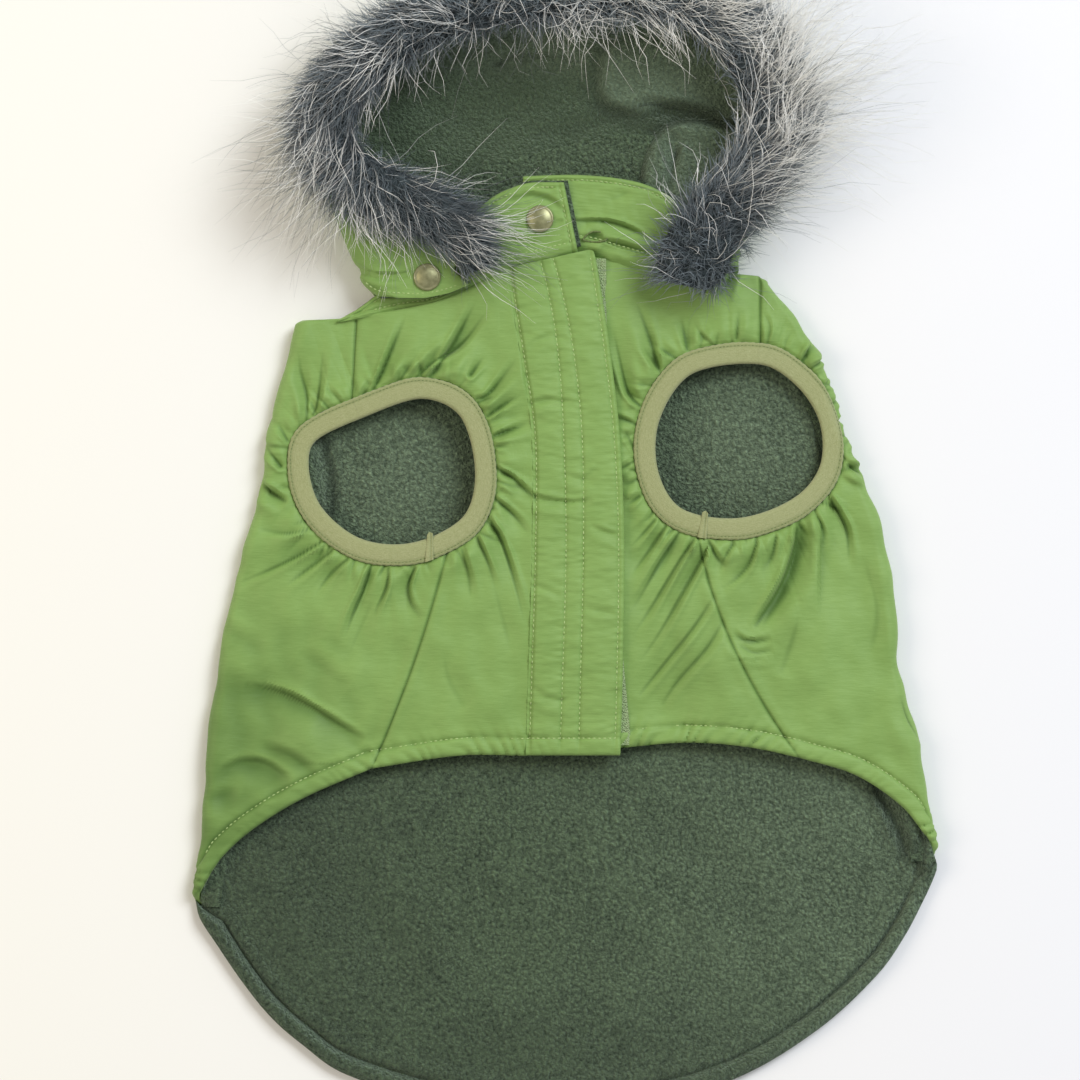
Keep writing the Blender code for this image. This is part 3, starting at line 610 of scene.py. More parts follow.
def lowest(height, row_step, column_step):
    """The lowest height round each point of the coarser grid."""
    rows = range(0, height.shape[0], row_step)
    columns = range(0, height.shape[1], column_step)
    return np.array([[height[max(row - row_step, 0):row + row_step + 1,
                             max(column - column_step, 0):column + column_step + 1].min()
                      for column in columns] for row in rows])


# ---- materials

class Wire:
    """A value in a node tree that takes part in sums."""

    def __init__(self, tree, socket):
        self.tree = tree
        self.socket = socket

    def sum(self, operation, first, second):
        return self.tree.node("ShaderNodeMath", {"operation": operation}, {0: first, 1: second})

    def __add__(self, other):
        return self.sum("ADD", self, other)

    def __rsub__(self, other):
        return self.sum("SUBTRACT", other, self)

    def __mul__(self, other):
        return self.sum("MULTIPLY", self, other)

    def __pow__(self, other):
        return self.sum("POWER", self, other)

    __radd__ = __add__
    __rmul__ = __mul__

    def span(self, low, high):
        """0 at low, 1 at high, and clamped between."""
        return self.tree.node("ShaderNodeMapRange", {"clamp": True},
                              {0: self, 1: low, 2: high, 3: 0.0, 4: 1.0})


class Tree:
    """A node tree that is built one node at a time."""

    def __init__(self, tree):
        self.tree = tree

    def node(self, kind, settings=None, values=None, output=0):
        made = self.tree.nodes.new(kind)
        for name, value in (settings or {}).items():
            setattr(made, name, value)
        for key, value in (values or {}).items():
            if isinstance(value, Wire):
                self.tree.links.new(value.socket, made.inputs[key])
            else:
                made.inputs[key].default_value = value
        return Wire(self, made.outputs[output]) if len(made.outputs) else made

    def vector(self, operation, first, second):
        key = "Scale" if operation == "SCALE" else 1
        return self.node("ShaderNodeVectorMath", {"operation": operation}, {0: first, key: second})

    def drift(self, where, scale, detail):
        """A soft random step for each place, up to a half each way."""
        field = {"Vector": where, "Scale": scale, "Detail": detail}
        field = self.node("ShaderNodeTexNoise", {}, field, 1)
        return self.vector("SUBTRACT", field, (0.5, 0.5, 0.5))


class Finish(Tree):
    """A material under construction, round one shader."""

    def __init__(self, name, **uniform):
        self.material = bpy.data.materials.new(name)
        self.material.use_nodes = True
        super().__init__(self.material.node_tree)
        self.tree.nodes.clear()
        self.shader = self.tree.nodes.new("ShaderNodeBsdfPrincipled")
        for label, value in uniform.items():
            label = label.replace("_", " ").title().replace("Ior", "IOR")
            self.shader.inputs[label].default_value = value
        self.node("ShaderNodeOutputMaterial", {}, {0: Wire(self, self.shader.outputs[0])})

    def set(self, label, wire):
        self.tree.links.new(wire.socket, self.shader.inputs[label])

    def blend(self, amount, first, second):
        return self.node("ShaderNodeMix", {"data_type": "RGBA"},
                         {0: amount, 6: first, 7: second}, 2)

    def cloth_map(self, scale_u, scale_v):
        """Coordinates that follow the cloth, in metres, stretched for a weave."""
        plain = self.node("ShaderNodeUVMap", {"uv_map": "cloth"})
        return self.vector("MULTIPLY", plain, (scale_u, scale_v, 1.0))

    def body_map(self):
        """The piece's own coordinates, in metres."""
        return self.node("ShaderNodeTexCoord", {}, {}, "Object")

    def noise(self, where, scale=1.0, detail=2.0, rough=0.5):
        return self.node("ShaderNodeTexNoise", {},
                         {"Vector": where, "Scale": scale, "Detail": detail, "Roughness": rough})

    def cells(self, where, scale, smooth=0.6):
        return self.node("ShaderNodeTexVoronoi", {"feature": "SMOOTH_F1"},
                         {"Vector": where, "Scale": scale, "Smoothness": smooth})

    def mark(self, label):
        return self.node("ShaderNodeAttribute", {"attribute_name": label}, {}, "Fac")

    def done(self, colour, height=None, distance=0.0, strength=1.0):
        """The material with its colour, and the relief of its grain."""
        self.set("Base Color", colour)
        if height is not None:
            self.set("Normal", self.node("ShaderNodeBump", {},
                                         {"Strength": strength, "Distance": distance,
                                          "Height": height}))
        return self.material


def shell_finish():
    """Padded woven polyester: fine cross slubs, faint crinkles, a soft shine, and painted shade in
    its folds.
    """
    made = Finish("shell_cloth", roughness=0.58, sheen_weight=0.2, sheen_roughness=0.5,
                  sheen_tint=(0.85, 1.0, 0.6, 1), specular_ior_level=0.3)
    slub = made.noise(made.cloth_map(190, 2100), 1.0, 3.0, 0.6)
    crinkle = made.noise(made.cloth_map(110, 420), 1.0, 2.0, 0.5)
    broad = made.noise(made.cloth_map(22, 26), 1.0, 2.0, 0.5)
    tone = slub.span(0.3, 0.72) * 0.45 + broad.span(0.3, 0.7) * 0.35 + crinkle.span(0.3, 0.7) * 0.2
    colour = made.blend(tone, (0.182, 0.310, 0.075, 1), (0.250, 0.400, 0.114, 1))
    # Painted shade: the cloth goes towards a deep green where its mark gives shade, in folds,
    # crease bottoms and seams.
    deep = made.blend(made.mark("painted_shade") * 0.85, colour, (0.060, 0.130, 0.022, 1))
    return made.done(deep, slub * 0.35 + crinkle, 0.0005, 0.5)


def fleece_finish():
    """Short pilled fleece: small nubs, paler on their tops, with a dull halo.

    Marks: painted shade darkens the fleece, painted light makes it paler, and painted flat shade
    shows less of its nubs."""
    made = Finish("fleece", roughness=0.95, sheen_weight=0.35, sheen_roughness=0.6,
                  sheen_tint=(0.75, 0.95, 0.75, 1), specular_ior_level=0.1)
    where = made.body_map()
    drift = made.vector("SCALE", made.drift(where, 330.0, 2.0), 0.0028)
    loops = made.cells(made.vector("ADD", where, drift), 550.0, 0.35)
    nubs = made.noise(where, 700.0, 3.0, 0.7)
    clouds = made.noise(where, 28.0, 3.0, 0.55)
    pile = loops.span(0.64, 0.16) * 0.5 + nubs.span(0.39, 0.63) * 0.5
    tone = pile * 0.86 + clouds.span(0.3, 0.7) * 0.14
    # Painted shade: the nubs show less where the hood lies deep in shade.
    tone = tone + (tone * -1.0 + 0.34) * made.mark("painted_flat_shade") * 0.5
    base_tone = made.blend(tone, (0.006, 0.014, 0.005, 1), (0.156, 0.235, 0.122, 1))
    # A paler copy of the fleece, for painted light.
    painted_light = made.blend(tone, (0.050, 0.078, 0.046, 1), (0.335, 0.450, 0.292, 1))
    colour = made.blend(made.mark("painted_light"), base_tone, painted_light)
    lint = made.noise(made.vector("MULTIPLY", where, (1.0, 0.3, 1.0)), 1500.0, 1.0, 0.5)
    colour = made.blend(lint.span(0.72, 0.80) * 0.4, colour, (0.30, 0.33, 0.24, 1))
    # Painted shade.
    colour = made.blend(made.mark("painted_shade") * 0.8, colour, (0.008, 0.014, 0.008, 1))
    return made.done(colour, pile, 0.0020)


def elastic_finish():
    """Folded elastic: a dull khaki tape with fine ribs, fuzzy, and darker along its stitched
    groove.
    """
    made = Finish("elastic", roughness=0.85, sheen_weight=0.3, sheen_roughness=0.5,
                  specular_ior_level=0.2)
    ribs = made.noise(made.cloth_map(350, 2600), 1.0, 2.0, 0.6)
    fuzz = made.noise(made.body_map(), 1900.0, 2.0, 0.7)
    tone = ribs.span(0.3, 0.7) * 0.5 + fuzz.span(0.3, 0.7) * 0.5
    colour = made.blend(tone, (0.262, 0.288, 0.118, 1), (0.405, 0.425, 0.225, 1))
    colour = made.blend(made.mark("sewn") * 0.45, colour, (0.15, 0.20, 0.065, 1))
    return made.done(colour, tone, 0.0003, 0.6)


def tape_finish():
    """Hook tape: a field of tiny glossy hooks."""
    made = Finish("hook_tape", roughness=0.55)
    hooks = made.cells(made.body_map(), 1500.0, 0.2).span(0.75, 0.1)
    colour = made.blend(hooks, (0.30, 0.42, 0.19, 1), (0.51, 0.64, 0.34, 1))
    return made.done(colour, hooks, 0.0008)


def thread_finish(name, dark, light, **looks):
    """Thread, in two tones of its twist."""
    made = Finish(name, **looks)
    twist = made.noise(made.body_map(), 1500.0, 1.0, 0.5).span(0.3, 0.7)
    return made.done(made.blend(twist, dark, light))


def cap_finish():
    """Snap caps: dull olive brass, rubbed a little brighter in spots."""
    made = Finish("snap_cap", roughness=0.42, metallic=0.55)
    rubbed = made.noise(made.body_map(), 420.0, 4.0, 0.65)
    colour = made.blend(rubbed.span(0.35, 0.7), (0.235, 0.235, 0.118, 1), (0.345, 0.340, 0.185, 1))
    made.set("Roughness", rubbed.span(0.2, 0.8) * 0.15 + 0.32)
    return made.done(colour, rubbed, 0.00004, 0.5)


def hair_finish(name, root, middle, tip, pale):
    """Fur: dark at the root and paler towards the tip, each hair a little different."""
    made = Finish(name, roughness=0.45, sheen_weight=0.1)
    reach = made.mark("tip")
    tone = made.mark("tone")
    low = made.blend(reach.span(0.0, 0.4), root, middle)
    top = made.blend(tone.span(*pale), middle, tip)
    return made.done(made.blend(reach.span(0.05, 0.4), low, top))


def hide_finish():
    """The backing that the fur stands in, almost lost in its shade."""
    made = Finish("fur_backing", roughness=0.95, specular_ior_level=0.1)
    tufts = made.noise(made.body_map(), 320.0, 4.0, 0.7)
    colour = made.blend(tufts.span(0.35, 0.7), (0.026, 0.034, 0.038, 1), (0.105, 0.132, 0.142, 1))
    return made.done(colour, tufts, 0.003)


SHELL_CLOTH = shell_finish()
FLEECE_CLOTH = fleece_finish()
ELASTIC = elastic_finish()
HOOK_TAPE = tape_finish()
THREAD = thread_finish("thread", (0.30, 0.43, 0.13, 1), (0.47, 0.60, 0.26, 1),
                       roughness=0.5, sheen_weight=0.2)
DARK_THREAD = thread_finish("dark_thread", (0.10, 0.14, 0.045, 1), (0.20, 0.25, 0.09, 1),
                            roughness=0.7)
SNAP_CAP = cap_finish()
FUR_BACKING = hide_finish()
UNDERFUR = hair_finish("underfur", (0.032, 0.043, 0.052, 1), (0.094, 0.122, 0.140, 1),
                       (0.235, 0.280, 0.312, 1), (0.30, 0.72))
GUARD_HAIR = hair_finish("guard_hair", (0.070, 0.082, 0.095, 1), (0.160, 0.178, 0.192, 1),
                         (0.975, 0.970, 0.935, 1), (0.44, 0.64))


# ---- attaching the pieces, and the sizes of their sheets

def enter(piece, slot, *nodes):
    """The piece rides on the jacket and stands for its nodes, which are hidden. Its slot is not
    used.
    """
    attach(piece, "root")
    if nodes:
        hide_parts(*nodes)
    return piece


LEAST_CUT = 0.301  # the least share of its box that a cut sheet is said to fill


def lay(piece, cloth, *under, held="laid"):
    """The flat size of a sheet and the area that it was cut to, from its own map; they are worked
    out and not used.
    """
    cut = cloth.reshape(-1, 2)
    width, length = np.ptp(cut, axis=0) * MM
    across = np.diff(cloth, axis=1)[:-1]
    along = np.diff(cloth, axis=0)[:, :-1]
    area = np.abs(across[..., 0] * along[..., 1] - across[..., 1] * along[..., 0]).sum() * MM ** 2
    area = float(min(max(area, LEAST_CUT * width * length), width * length))


# ---- belly side

Half = namedtuple("Half", "side word edge grid seam hem_line outline folds")


def borders_left():
    hem = HEM_LEFT
    return table(
        Border,
        ([(-97, 106), (-110, 105), (-side_seam(-1, NECK_LEFT), NECK_LEFT)], 7, (-126, 50), 0),
        ([(-side_seam(-1, y), y) for y in np.linspace(NECK_LEFT, hem, 40)],
               9, (-116, 6), 0),
        ([(-side_seam(-1, hem), hem), (-fold_line(-1, -166) - 15, -167),
                (-fold_line(-1, -162) - 8, -163), (-168, -157), (-160, -145),
                (-146, -132), (-122, -117), (-90, -103)], 9, (-55, -4), 2.5),
        ([(-90, -103), (-50, -97), (fly_sewn(-97), -97)], 4, (-38, 10), 0),
        ([(fly_sewn(y), y) for y in np.linspace(-97, 129, 40)], 9, (-46, 71), 0),
        ([(fly_sewn(129), 129), (-42, 121), (-60, 113), (-97, 106)], 4, (-99, 68), 0),
    )


def borders_right():
    hem = HEM_RIGHT
    return table(
        Border,
        ([(90, 125), (94, 123.5), (side_seam(1, NECK_RIGHT), NECK_RIGHT)], 7, (124, 66), 0),
        ([(side_seam(1, y), y) for y in np.linspace(NECK_RIGHT, hem, 40)],
               9, (118, 20), 0),
        ([(side_seam(1, hem), hem), (fold_line(1, -145) + 15, -145.5),
                (fold_line(1, -141) + 8, -141), (166, -133), (155, -120),
                (134, -106), (108, -98)], 9, (61, 5), -7),
        ([(108, -98), (84, -93), (54, -91), (fly_free(-95) - FRONT_UNDER, -95)],
               4, (40, 18), 0),
        ([(fly_free(y) - FRONT_UNDER, y) for y in np.linspace(-95, 134, 40)],
               9, (44, 78), 0),
        ([(fly_free(134) - FRONT_UNDER, 134), (22, 133), (53, 128.5), (90, 125)],
               4, (90, 94), 0),
    )


def columns_round(armhole, borders):
    """Where each fine column starts at the armhole and ends at the panel's edge."""
    edge = curve(armhole, 2881, closed=True)
    places = np.arange(len(edge))
    starts, ends, bows = [], [], []
    place_now, bow = 0, borders[-1].bow
    for border in borders:
        facing = int(np.argmin(norm(edge - border.facing, axis=1)))
        if facing <= place_now:
            facing = len(edge) - 1
        steps = border.steps * FINE
        share = np.arange(steps) / steps
        at = place_now + (facing - place_now) * share
        starts.append(np.column_stack([np.interp(at, places, part) for part in edge.T]))
        ends.append(curve(border.points, steps + 1)[:-1])
        bows.append(bow + (border.bow - bow) * share)
        place_now, bow = facing, border.bow
    return np.vstack(starts), np.vstack(ends), np.concatenate(bows)


def rows_between(side, starts, ends, bows, count):
    """Rows of (across, along) from armhole to edge, closer together where the cloth bends."""
    share = np.linspace(0, 1, 301)[:, None, None]
    lines = starts + (ends - starts) * share
    lines[..., 0] += (4 * share * (1 - share))[..., 0] * bows
    turn = np.clip((np.abs(lines[..., 0]) - fold_line(side, lines[..., 1])) / FOLD, 0, pi)
    cost = norm(np.diff(lines, axis=0), axis=2)
    cost = cost + BEND_WEIGHT * np.abs(np.diff(turn, axis=0)) / pi
    run = np.vstack([np.zeros(len(starts)), np.cumsum(cost, axis=0)])
    grid = np.empty((count + 1, len(starts), 2))
    for column in range(len(starts)):
        places = np.linspace(0, run[-1, column], count + 1)
        for part in range(2):
            grid[:, column, part] = np.interp(places, run[:, column], lines[:, column, part])
    return grid


def half_of(side, word, armhole, borders, folds, seed):
    starts, ends, bows = columns_round(armhole, borders)
    grid = rows_between(side, starts, ends, bows, ROWS)
    grid = np.concatenate([grid, grid[:, :1]], axis=1)
    seam = FINE * sum(border.steps for border in borders[:3])
    hem_start = FINE * (borders[0].steps + borders[1].steps)
    hem_end = hem_start + FINE * (borders[2].steps + borders[3].steps)
    hem_line = grid[-1, hem_start:hem_end + 1:3]
    outline = np.vstack([grid[-1, hem_end::3], grid[-1, :FINE * borders[0].steps:3]])
    edge = curve(armhole, 181, closed=True)
    folds = folds + gathers(edge, 44, seed)
    return Half(side, word, edge, grid, seam, hem_line, outline, folds)


def belly_relief(half, across, along):
    """How far the belly cloth stands over its plain form at each place, and the shade painted into
    its colour.
    """
    height = 1.1 * swell(across, along, 46, 5 + half.side) + 0.5 * swell(across, along, 17, 9)
    creased, shade = folded(across, along, half.folds)
    height += creased
    ring, share, _ = nearest(half.edge, across, along)
    height = (height + pleats(ring, share)) * slope(ring / 9 + 0.25)
    height += 0.85 * hump(ring - 5.5, 3.6) - 1.0 * hump(ring, 1.1)
    for column in (0, half.seam):
        seam, _, _ = nearest(half.grid[::6, column], across, along)
        height += seam_relief(seam)
        # Painted shade along the seams.
        shade = np.maximum(shade, 0.8 * hump(seam, 0.75))
    hem, share, _ = nearest(half.hem_line, across, along)
    run = share * norm(np.diff(half.hem_line, axis=0), axis=1).sum()
    hem_near = slope(hem / HEM_BAND)
    pucker = 0.34 + 0.5 * hump(across - 62, 34) + 0.2 * hump(across + 62, 30)
    height = height * (0.25 + 0.75 * hem_near) + hem_relief(hem, run, pucker)
    edge, _, _ = nearest(half.outline, across, along)
    height = height * slope(edge / 3 + 0.3) - 0.7 * brink(edge, 1.3)
    # Painted shade, darker towards the lower left.
    painted_dimming = slope((-62 - across) / 90) * slope((0 - along) / 90)
    return height, np.maximum(shade, 0.74 * painted_dimming)


def painted_shade_of(height, reach, shade=0.0):
    """The painted shade of each point, 0 to 1: how deep in a fold it lies, and any shade given."""
    return np.clip((spread_out(height, reach) - height - 0.3) / 3.0 + shade, 0, 1)


def spread_out(height, reach):
    """Heights averaged over their neighbours in the grid."""
    for axis in (0, 1):
        widths = [(0, 0), (0, 0)]
        widths[axis] = (reach, reach)
        padded = np.pad(height, widths, "edge")
        total = np.cumsum(padded, axis)
        size = height.shape[axis]
        upper = np.take(total, np.arange(2 * reach, 2 * reach + size), axis)
        lower = np.take(total, np.arange(size), axis)
        first = np.take(padded, np.arange(size), axis)
        height = (upper - lower + first) / (2 * reach + 1)
    return height


def panel(name, node, half, first, last):
    """A side or front panel: fine face with its relief, plain back."""
    grid = half.grid[:, first:last + 1]
    tuck = half.side > 0
    across, along = grid[..., 0], grid[..., 1]
    height, shade = belly_relief(half, across, along)
    face = tube(across, along, -height, tuck)
    rows, columns = BACK_STEP
    depth = SHELL - lowest(height, rows, columns)
    back = tube(across[::rows, ::columns], along[::rows, ::columns], depth, tuck)
    # Painted shade in the panel's folds, creases and seams.
    marks = {"painted_shade": painted_shade_of(height, 5, shade)}
    piece = wall(name, face, back, SHELL_CLOTH, grid, marks=marks)
    lay(piece, grid, "lining_" + half.word)
    return enter(piece, "shell_cloth", node)


def belly_lining(half):
    """The fleece inside one half of the belly side."""
    rows, columns = BACK_STEP
    grid = half.grid[::rows, :-1:columns]
    away = grid[1] - grid[0]
    grid = grid.copy()
    grid[0] += LINING_BACK * away / norm(away, axis=1, keepdims=True)
    fine, _ = belly_relief(half, half.grid[:, :-1, 0], half.grid[:, :-1, 1])
    low = lowest(fine, rows, columns)
    tuck = half.side > 0
    near = SHELL + LOOSE - low
    face = tube(grid[..., 0], grid[..., 1], near, tuck)
    back = tube(grid[..., 0], grid[..., 1], near + FLEECE, tuck)
    piece = wall("lining_" + half.word, face, back, FLEECE_CLOTH, grid, wrap=True)
    lay(piece, np.concatenate([grid, grid[:, :1]], axis=1), "back_fleece")
    return enter(piece, "fleece", "belly_lining_" + half.word)


def ring_frame(half):
    """Even places round an armhole and the unit step inwards at each."""
    armhole = ARMHOLE_LEFT if half.side < 0 else ARMHOLE_RIGHT
    edge = curve(armhole, BIND_STEPS + 1, closed=True)[:-1]
    inward = np.roll(edge, -1, axis=0) - np.roll(edge, 1, axis=0)
    inward = np.column_stack([-inward[:, 1], inward[:, 0]])
    inward /= norm(inward, axis=1, keepdims=True)
    facing = np.sign(np.sum(inward * (edge.mean(axis=0) - edge), axis=1))
    return edge, inward * facing[:, None]


def puckers(run):
    """The small waves that the stitching draws into the elastic."""
    return np.sin(run * 2 * pi / 3.3 + 0.9 * np.sin(run / 9))


def binding_height(v, run):
    """The elastic's face: a flat tape, soft at both edges and drawn in by its stitches."""
    height = BIND_RISE + 0.22 * np.sin(pi * v / BINDING)
    height = height - 0.95 * brink(v, 0.9)
    height = height - 1.25 * brink(BINDING - v, 1.4)
    height = height - 0.30 * hump(v - 1.5, 0.45)
    return height + 0.07 * puckers(run) * np.exp(-v / 2.6)


def binding(half):
    """Elastic folded over the armhole's edge: one closed ring, ruffled where it is sewn."""
    count, around = BIND_STEPS, 16
    edge, inward = ring_frame(half)
    run = np.arange(count) * norm(edge[1] - edge[0])
    ruffle = 0.10 * puckers(run) + 0.12 * np.sin(run / 4.1)
    v = BINDING * (0.5 - 0.5 * np.cos(np.linspace(0, pi, around)))
    tuck = half.side > 0
    rows = []
    for place_v in v:
        ground = edge + inward * (place_v - ruffle * np.exp(-place_v / 2.0))[:, None]
        rows.append(tube(ground[:, 0], ground[:, 1], -binding_height(place_v, run), tuck))
    under = []
    for place_v in (BINDING - 0.8, 0.8):
        ground = edge + inward * place_v
        under.append(tube(ground[:, 0], ground[:, 1], BIND_WALL - BIND_RISE, tuck))
    loops = np.array(rows + under)
    total = len(loops)
    quads = np.vstack([grid_quads(total, count, 0, True), closing_quads(total, count, True)])
    across = np.concatenate([v, [12.0, 20.0]])
    cloth = np.stack(np.broadcast_arrays(run[None, :], across[:, None]), -1).reshape(-1, 2)
    sewn = np.repeat((hump(across - 1.5, 0.7) * (across < 11))[:, None], count, 1).ravel()
    piece = mesh_piece("binding_" + half.word, loops.reshape(-1, 3), quads,
                       np.zeros((0, 3), int), ELASTIC, cloth, {"sewn": sewn})
    "side_" + half.word
    "front_" + half.word
    return enter(piece, "elastic", "armhole_binding_" + half.word)


def binding_join(half, spot, slant):
    """The elastic's two ends meet in a small folded tab across the ring."""
    edge, inward = ring_frame(half)
    at = int(np.argmin(norm(edge - spot, axis=1)))
    start, way = edge[at], inward[at]
    aside = np.array([way[1], -way[0]])
    u = np.linspace(-1, 1, 15)
    v = np.linspace(0, 1, 25)
    width = 2.1 - 0.7 * v
    long_v = -0.2 + (BINDING + 1.7) * v
    ground = (start + way * long_v[:, None, None] + aside * (slant * long_v)[:, None, None]
              + aside * (u[None, :] * width[:, None])[..., None])
    tip = slope((v - 0.82) / 0.18)[:, None] * (1 - np.abs(u))[None, :]
    ground += way * (1.1 * tip)[..., None]
    rise = 1.0 + 0.55 * np.sqrt(np.clip(1 - np.abs(u)[None, :] ** 3, 0, 1))
    rise = rise + 0.25 * np.sin(v * 7)[:, None]
    rise = rise - 0.5 * hump(u[None, :] - 0.35, 0.16)
    tuck = half.side > 0
    face = tube(ground[..., 0], ground[..., 1], -rise, tuck)
    back = tube(ground[..., 0], ground[..., 1], np.full(rise.shape, -0.55), tuck)
    piece = wall("binding_join_" + half.word, face, back, ELASTIC, ground,
                 marks={"sewn": 0.6 * hump(u[None, :] - 0.35, 0.2) + 0 * rise})
    return enter(piece, "elastic")


# ---- fly

# The fly's rows of stitching: the line that each follows and its step from it
FREE_ROW = -2.7
FLY_ROWS = ((fly_sewn, 1.0), (fly_second, 0.0), (fly_third, 0.0), (fly_free, FREE_ROW))


def placket_relief(x, y):
    """The fly: three padded channels between four rows of stitching, finely puckered."""
    lines = [read(y) + step for read, step in FLY_ROWS]
    height = np.zeros(np.shape(x))
    for left, right in zip(lines[:-1], lines[1:]):
        share = np.clip((x - left) / (right - left), 0, 1)
        height += 0.11 * (right - left) ** 0.8 * np.sin(pi * share) ** 0.8
    near = np.min([np.abs(x - line) for line in lines], axis=0)
    height -= 0.55 * hump(near, 0.7)
    fine = np.sin(2 * pi * (y / 3.1 + 0.5 * swell(x, y, 26, 31)) + 1.5 * swell(x, y, 60, 32))
    height += 0.20 * fine * (0.35 + 0.65 * hump(near, 2.6)) * (0.55 + 0.45 * swell(x, y, 30, 33))
    height += 0.30 * swell(x, y, 7, 34, 2.8) + 0.16 * swell(x, y, 3.6, 35, 3.0)
    height += folded(x, y, FOLDS_FLY)[0]
    height -= PLACKET_RISE * (1 - slope((x - fly_sewn(y)) / 2.4))
    height -= 0.95 * brink(fly_free(y) - x, 1.5)
    hem = y - FLY_HEM
    height = height * (0.3 + 0.7 * slope(hem / HEM_BAND))
    return height + 0.8 * hem_relief(hem, x + 40, 0.10)


def placket():
    """The fly's cover: a padded strip sewn down at its left, its upper free corner rounded."""
    rows, columns = 312, 72
    y_share = np.linspace(0, 1, rows + 1)[:, None]
    x_share = np.linspace(0, 1, columns + 1)[None, :]
    left_y = FLY_HEM + (FLY_NECK - FLY_HEM) * y_share
    right_y = FLY_HEM + (FLY_PEAK - FLY_HEM) * y_share
    y = left_y + (right_y - left_y) * x_share
    corner = np.clip(1 - (1 - x_share) / 0.08, 0, 1)
    y = y - 3.2 * (1 - np.sqrt(1 - corner ** 2)) * y_share ** 20
    left = fly_sewn(left_y) - 0.7
    x = left + (fly_free(right_y) - left) * x_share
    height = placket_relief(x, y)
    face = tube(x, y, -height - PLACKET_RISE)
    low = lowest(height, FLY_STEP, FLY_STEP)
    back_depth = PLACKET_WALL - PLACKET_RISE - np.minimum(low + 0.6, 0)
    back = tube(x[::FLY_STEP, ::FLY_STEP], y[::FLY_STEP, ::FLY_STEP], back_depth)
    # Painted shade in the fly's folds.
    marks = {"painted_shade": painted_shade_of(height, 5)}
    cloth = np.stack([x, y], -1)
    piece = wall("fly_placket", face, back, SHELL_CLOTH, cloth, marks=marks)
    lay(piece, cloth, "front_left", "front_right")
    return enter(piece, "shell_cloth", "placket")


def hook_tape():
    """The tape under the cover's free edge; it shows beside it only towards both ends."""
    rows, columns = 225, 14
    y = np.linspace(-92, 133, rows + 1)[:, None]
    ends = np.maximum(np.clip((y - 98) / 36, 0, 1), np.clip((-46 - y) / 44, 0, 1))
    right = fly_free(y) - TAPE_BACK + (TAPE_SHOWS + TAPE_BACK) * ends
    left = fly_free(y) - TAPE_HIDDEN
    share = np.linspace(0, 1, columns + 1)[None, :]
    x = left + (right - left) * share
    y = y + 0 * x
    near = PLACKET_WALL - PLACKET_RISE + GAP
    rough = 0.16 * swell(x, y, 1.7, 51) + 0.12 * swell(x, y, 6, 52)
    edge = 0.35 * brink(right - x, 0.8)
    face = tube(x, y, near - rough * 0.8 + edge)
    back = tube(x[::15, ::7], y[::15, ::7], near + TAPE_WALL)
    cloth = np.stack([x, y], -1)
    piece = wall("front_tape", face, back, HOOK_TAPE, cloth)
    lay(piece, cloth, "front_right")
    return enter(piece, "hook_tape", "closure_tape")


# ---- back and tail flap

def neck_line(x):
    left, right = -side_edge(-1, NECK_LEFT), side_edge(1, NECK_RIGHT)
    return NECK_LEFT + (NECK_RIGHT - NECK_LEFT) * (x - left) / (right - left)


def back_rows(inset, columns, body, tail, welt_rows, widen=0.0):
    """Grid of (x, y) from the neck to the tail's edge, each point's place on the welt,
    and its distance inwards from the welt's seam."""
    across = np.linspace(0, 1, columns + 1)
    rows = []
    for share in 1 - np.linspace(1, 0, body + 1) ** 1.4:
        left_y = NECK_LEFT + (HEM_LEFT - NECK_LEFT) * share
        right_y = NECK_RIGHT + (HEM_RIGHT - NECK_RIGHT) * share
        left_x = -side_edge(-1, left_y) - widen
        right_x = side_edge(1, right_y) + widen * (1 + 0.3 * slope((share - 0.95) / 0.05))
        x = left_x + (right_x - left_x) * across
        y = left_y + (right_y - left_y) * across - GAP * (share == 0)
        rows.append(np.column_stack([x, y]))
    outline = curve(TAIL, columns + 1)
    way = np.array(TAIL_MIDDLE) - outline
    outline = outline + inset * way / norm(way, axis=1, keepdims=True)
    last = rows[-1]
    length = norm(outline - last, axis=1, keepdims=True)
    welt = np.minimum(WELT, 0.5 * length) / length
    on_welt = [np.zeros(columns + 1)] * len(rows)
    seam = [np.full(columns + 1, 99.0)] * len(rows)
    for share in np.linspace(0, 1, tail + 1)[1:]:
        rows.append(last + (outline - last) * (1 - welt) * share)
        on_welt.append(np.zeros(columns + 1))
        seam.append((length * (1 - welt))[:, 0] * (1 - share))
    for share in np.linspace(0, 1, welt_rows + 1)[1:]:
        rows.append(last + (outline - last) * (1 - welt * (1 - share)))
        on_welt.append(np.full(columns + 1, share))
        seam.append(-(length * welt)[:, 0] * share)
    return np.array(rows), np.array(on_welt), np.array(seam)


FOLDS_BACK = table(Crease,
    ([(141, -104), (146.3, -117), (151, -126.5), (154.8, -134.5), (158, -143)],
           2.8, 2.2, -0.5, False),
    ([(160.3, -121), (165, -133), (164.6, -146), (161, -156)], 1.6, 1.6, 0.3, False),
    ([(-116, 56), (-110, 40), (-108, 24), (-110, 8)], 2, 1.8, 0.4, False),
    ([(106, 82), (115, 62), (119, 44), (117, 26)], 1.8, 1.8, -0.4, False),
    ([(-60, -190), (-10, -198), (50, -190)], 0.5, 12, 0, False),
    ([(60, -130), (80, -160), (90, -200)], 0.5, 10, 0, False),
    ([(-120, -150), (-90, -175), (-80, -215)], 0.5, 10, 0, False),
)


def flap_rise(x, y):
    """How far past the line of the folded flap at the tail's right corner a place lies."""
    return (x - 150) * 0.9 + (y + 127) * 0.45


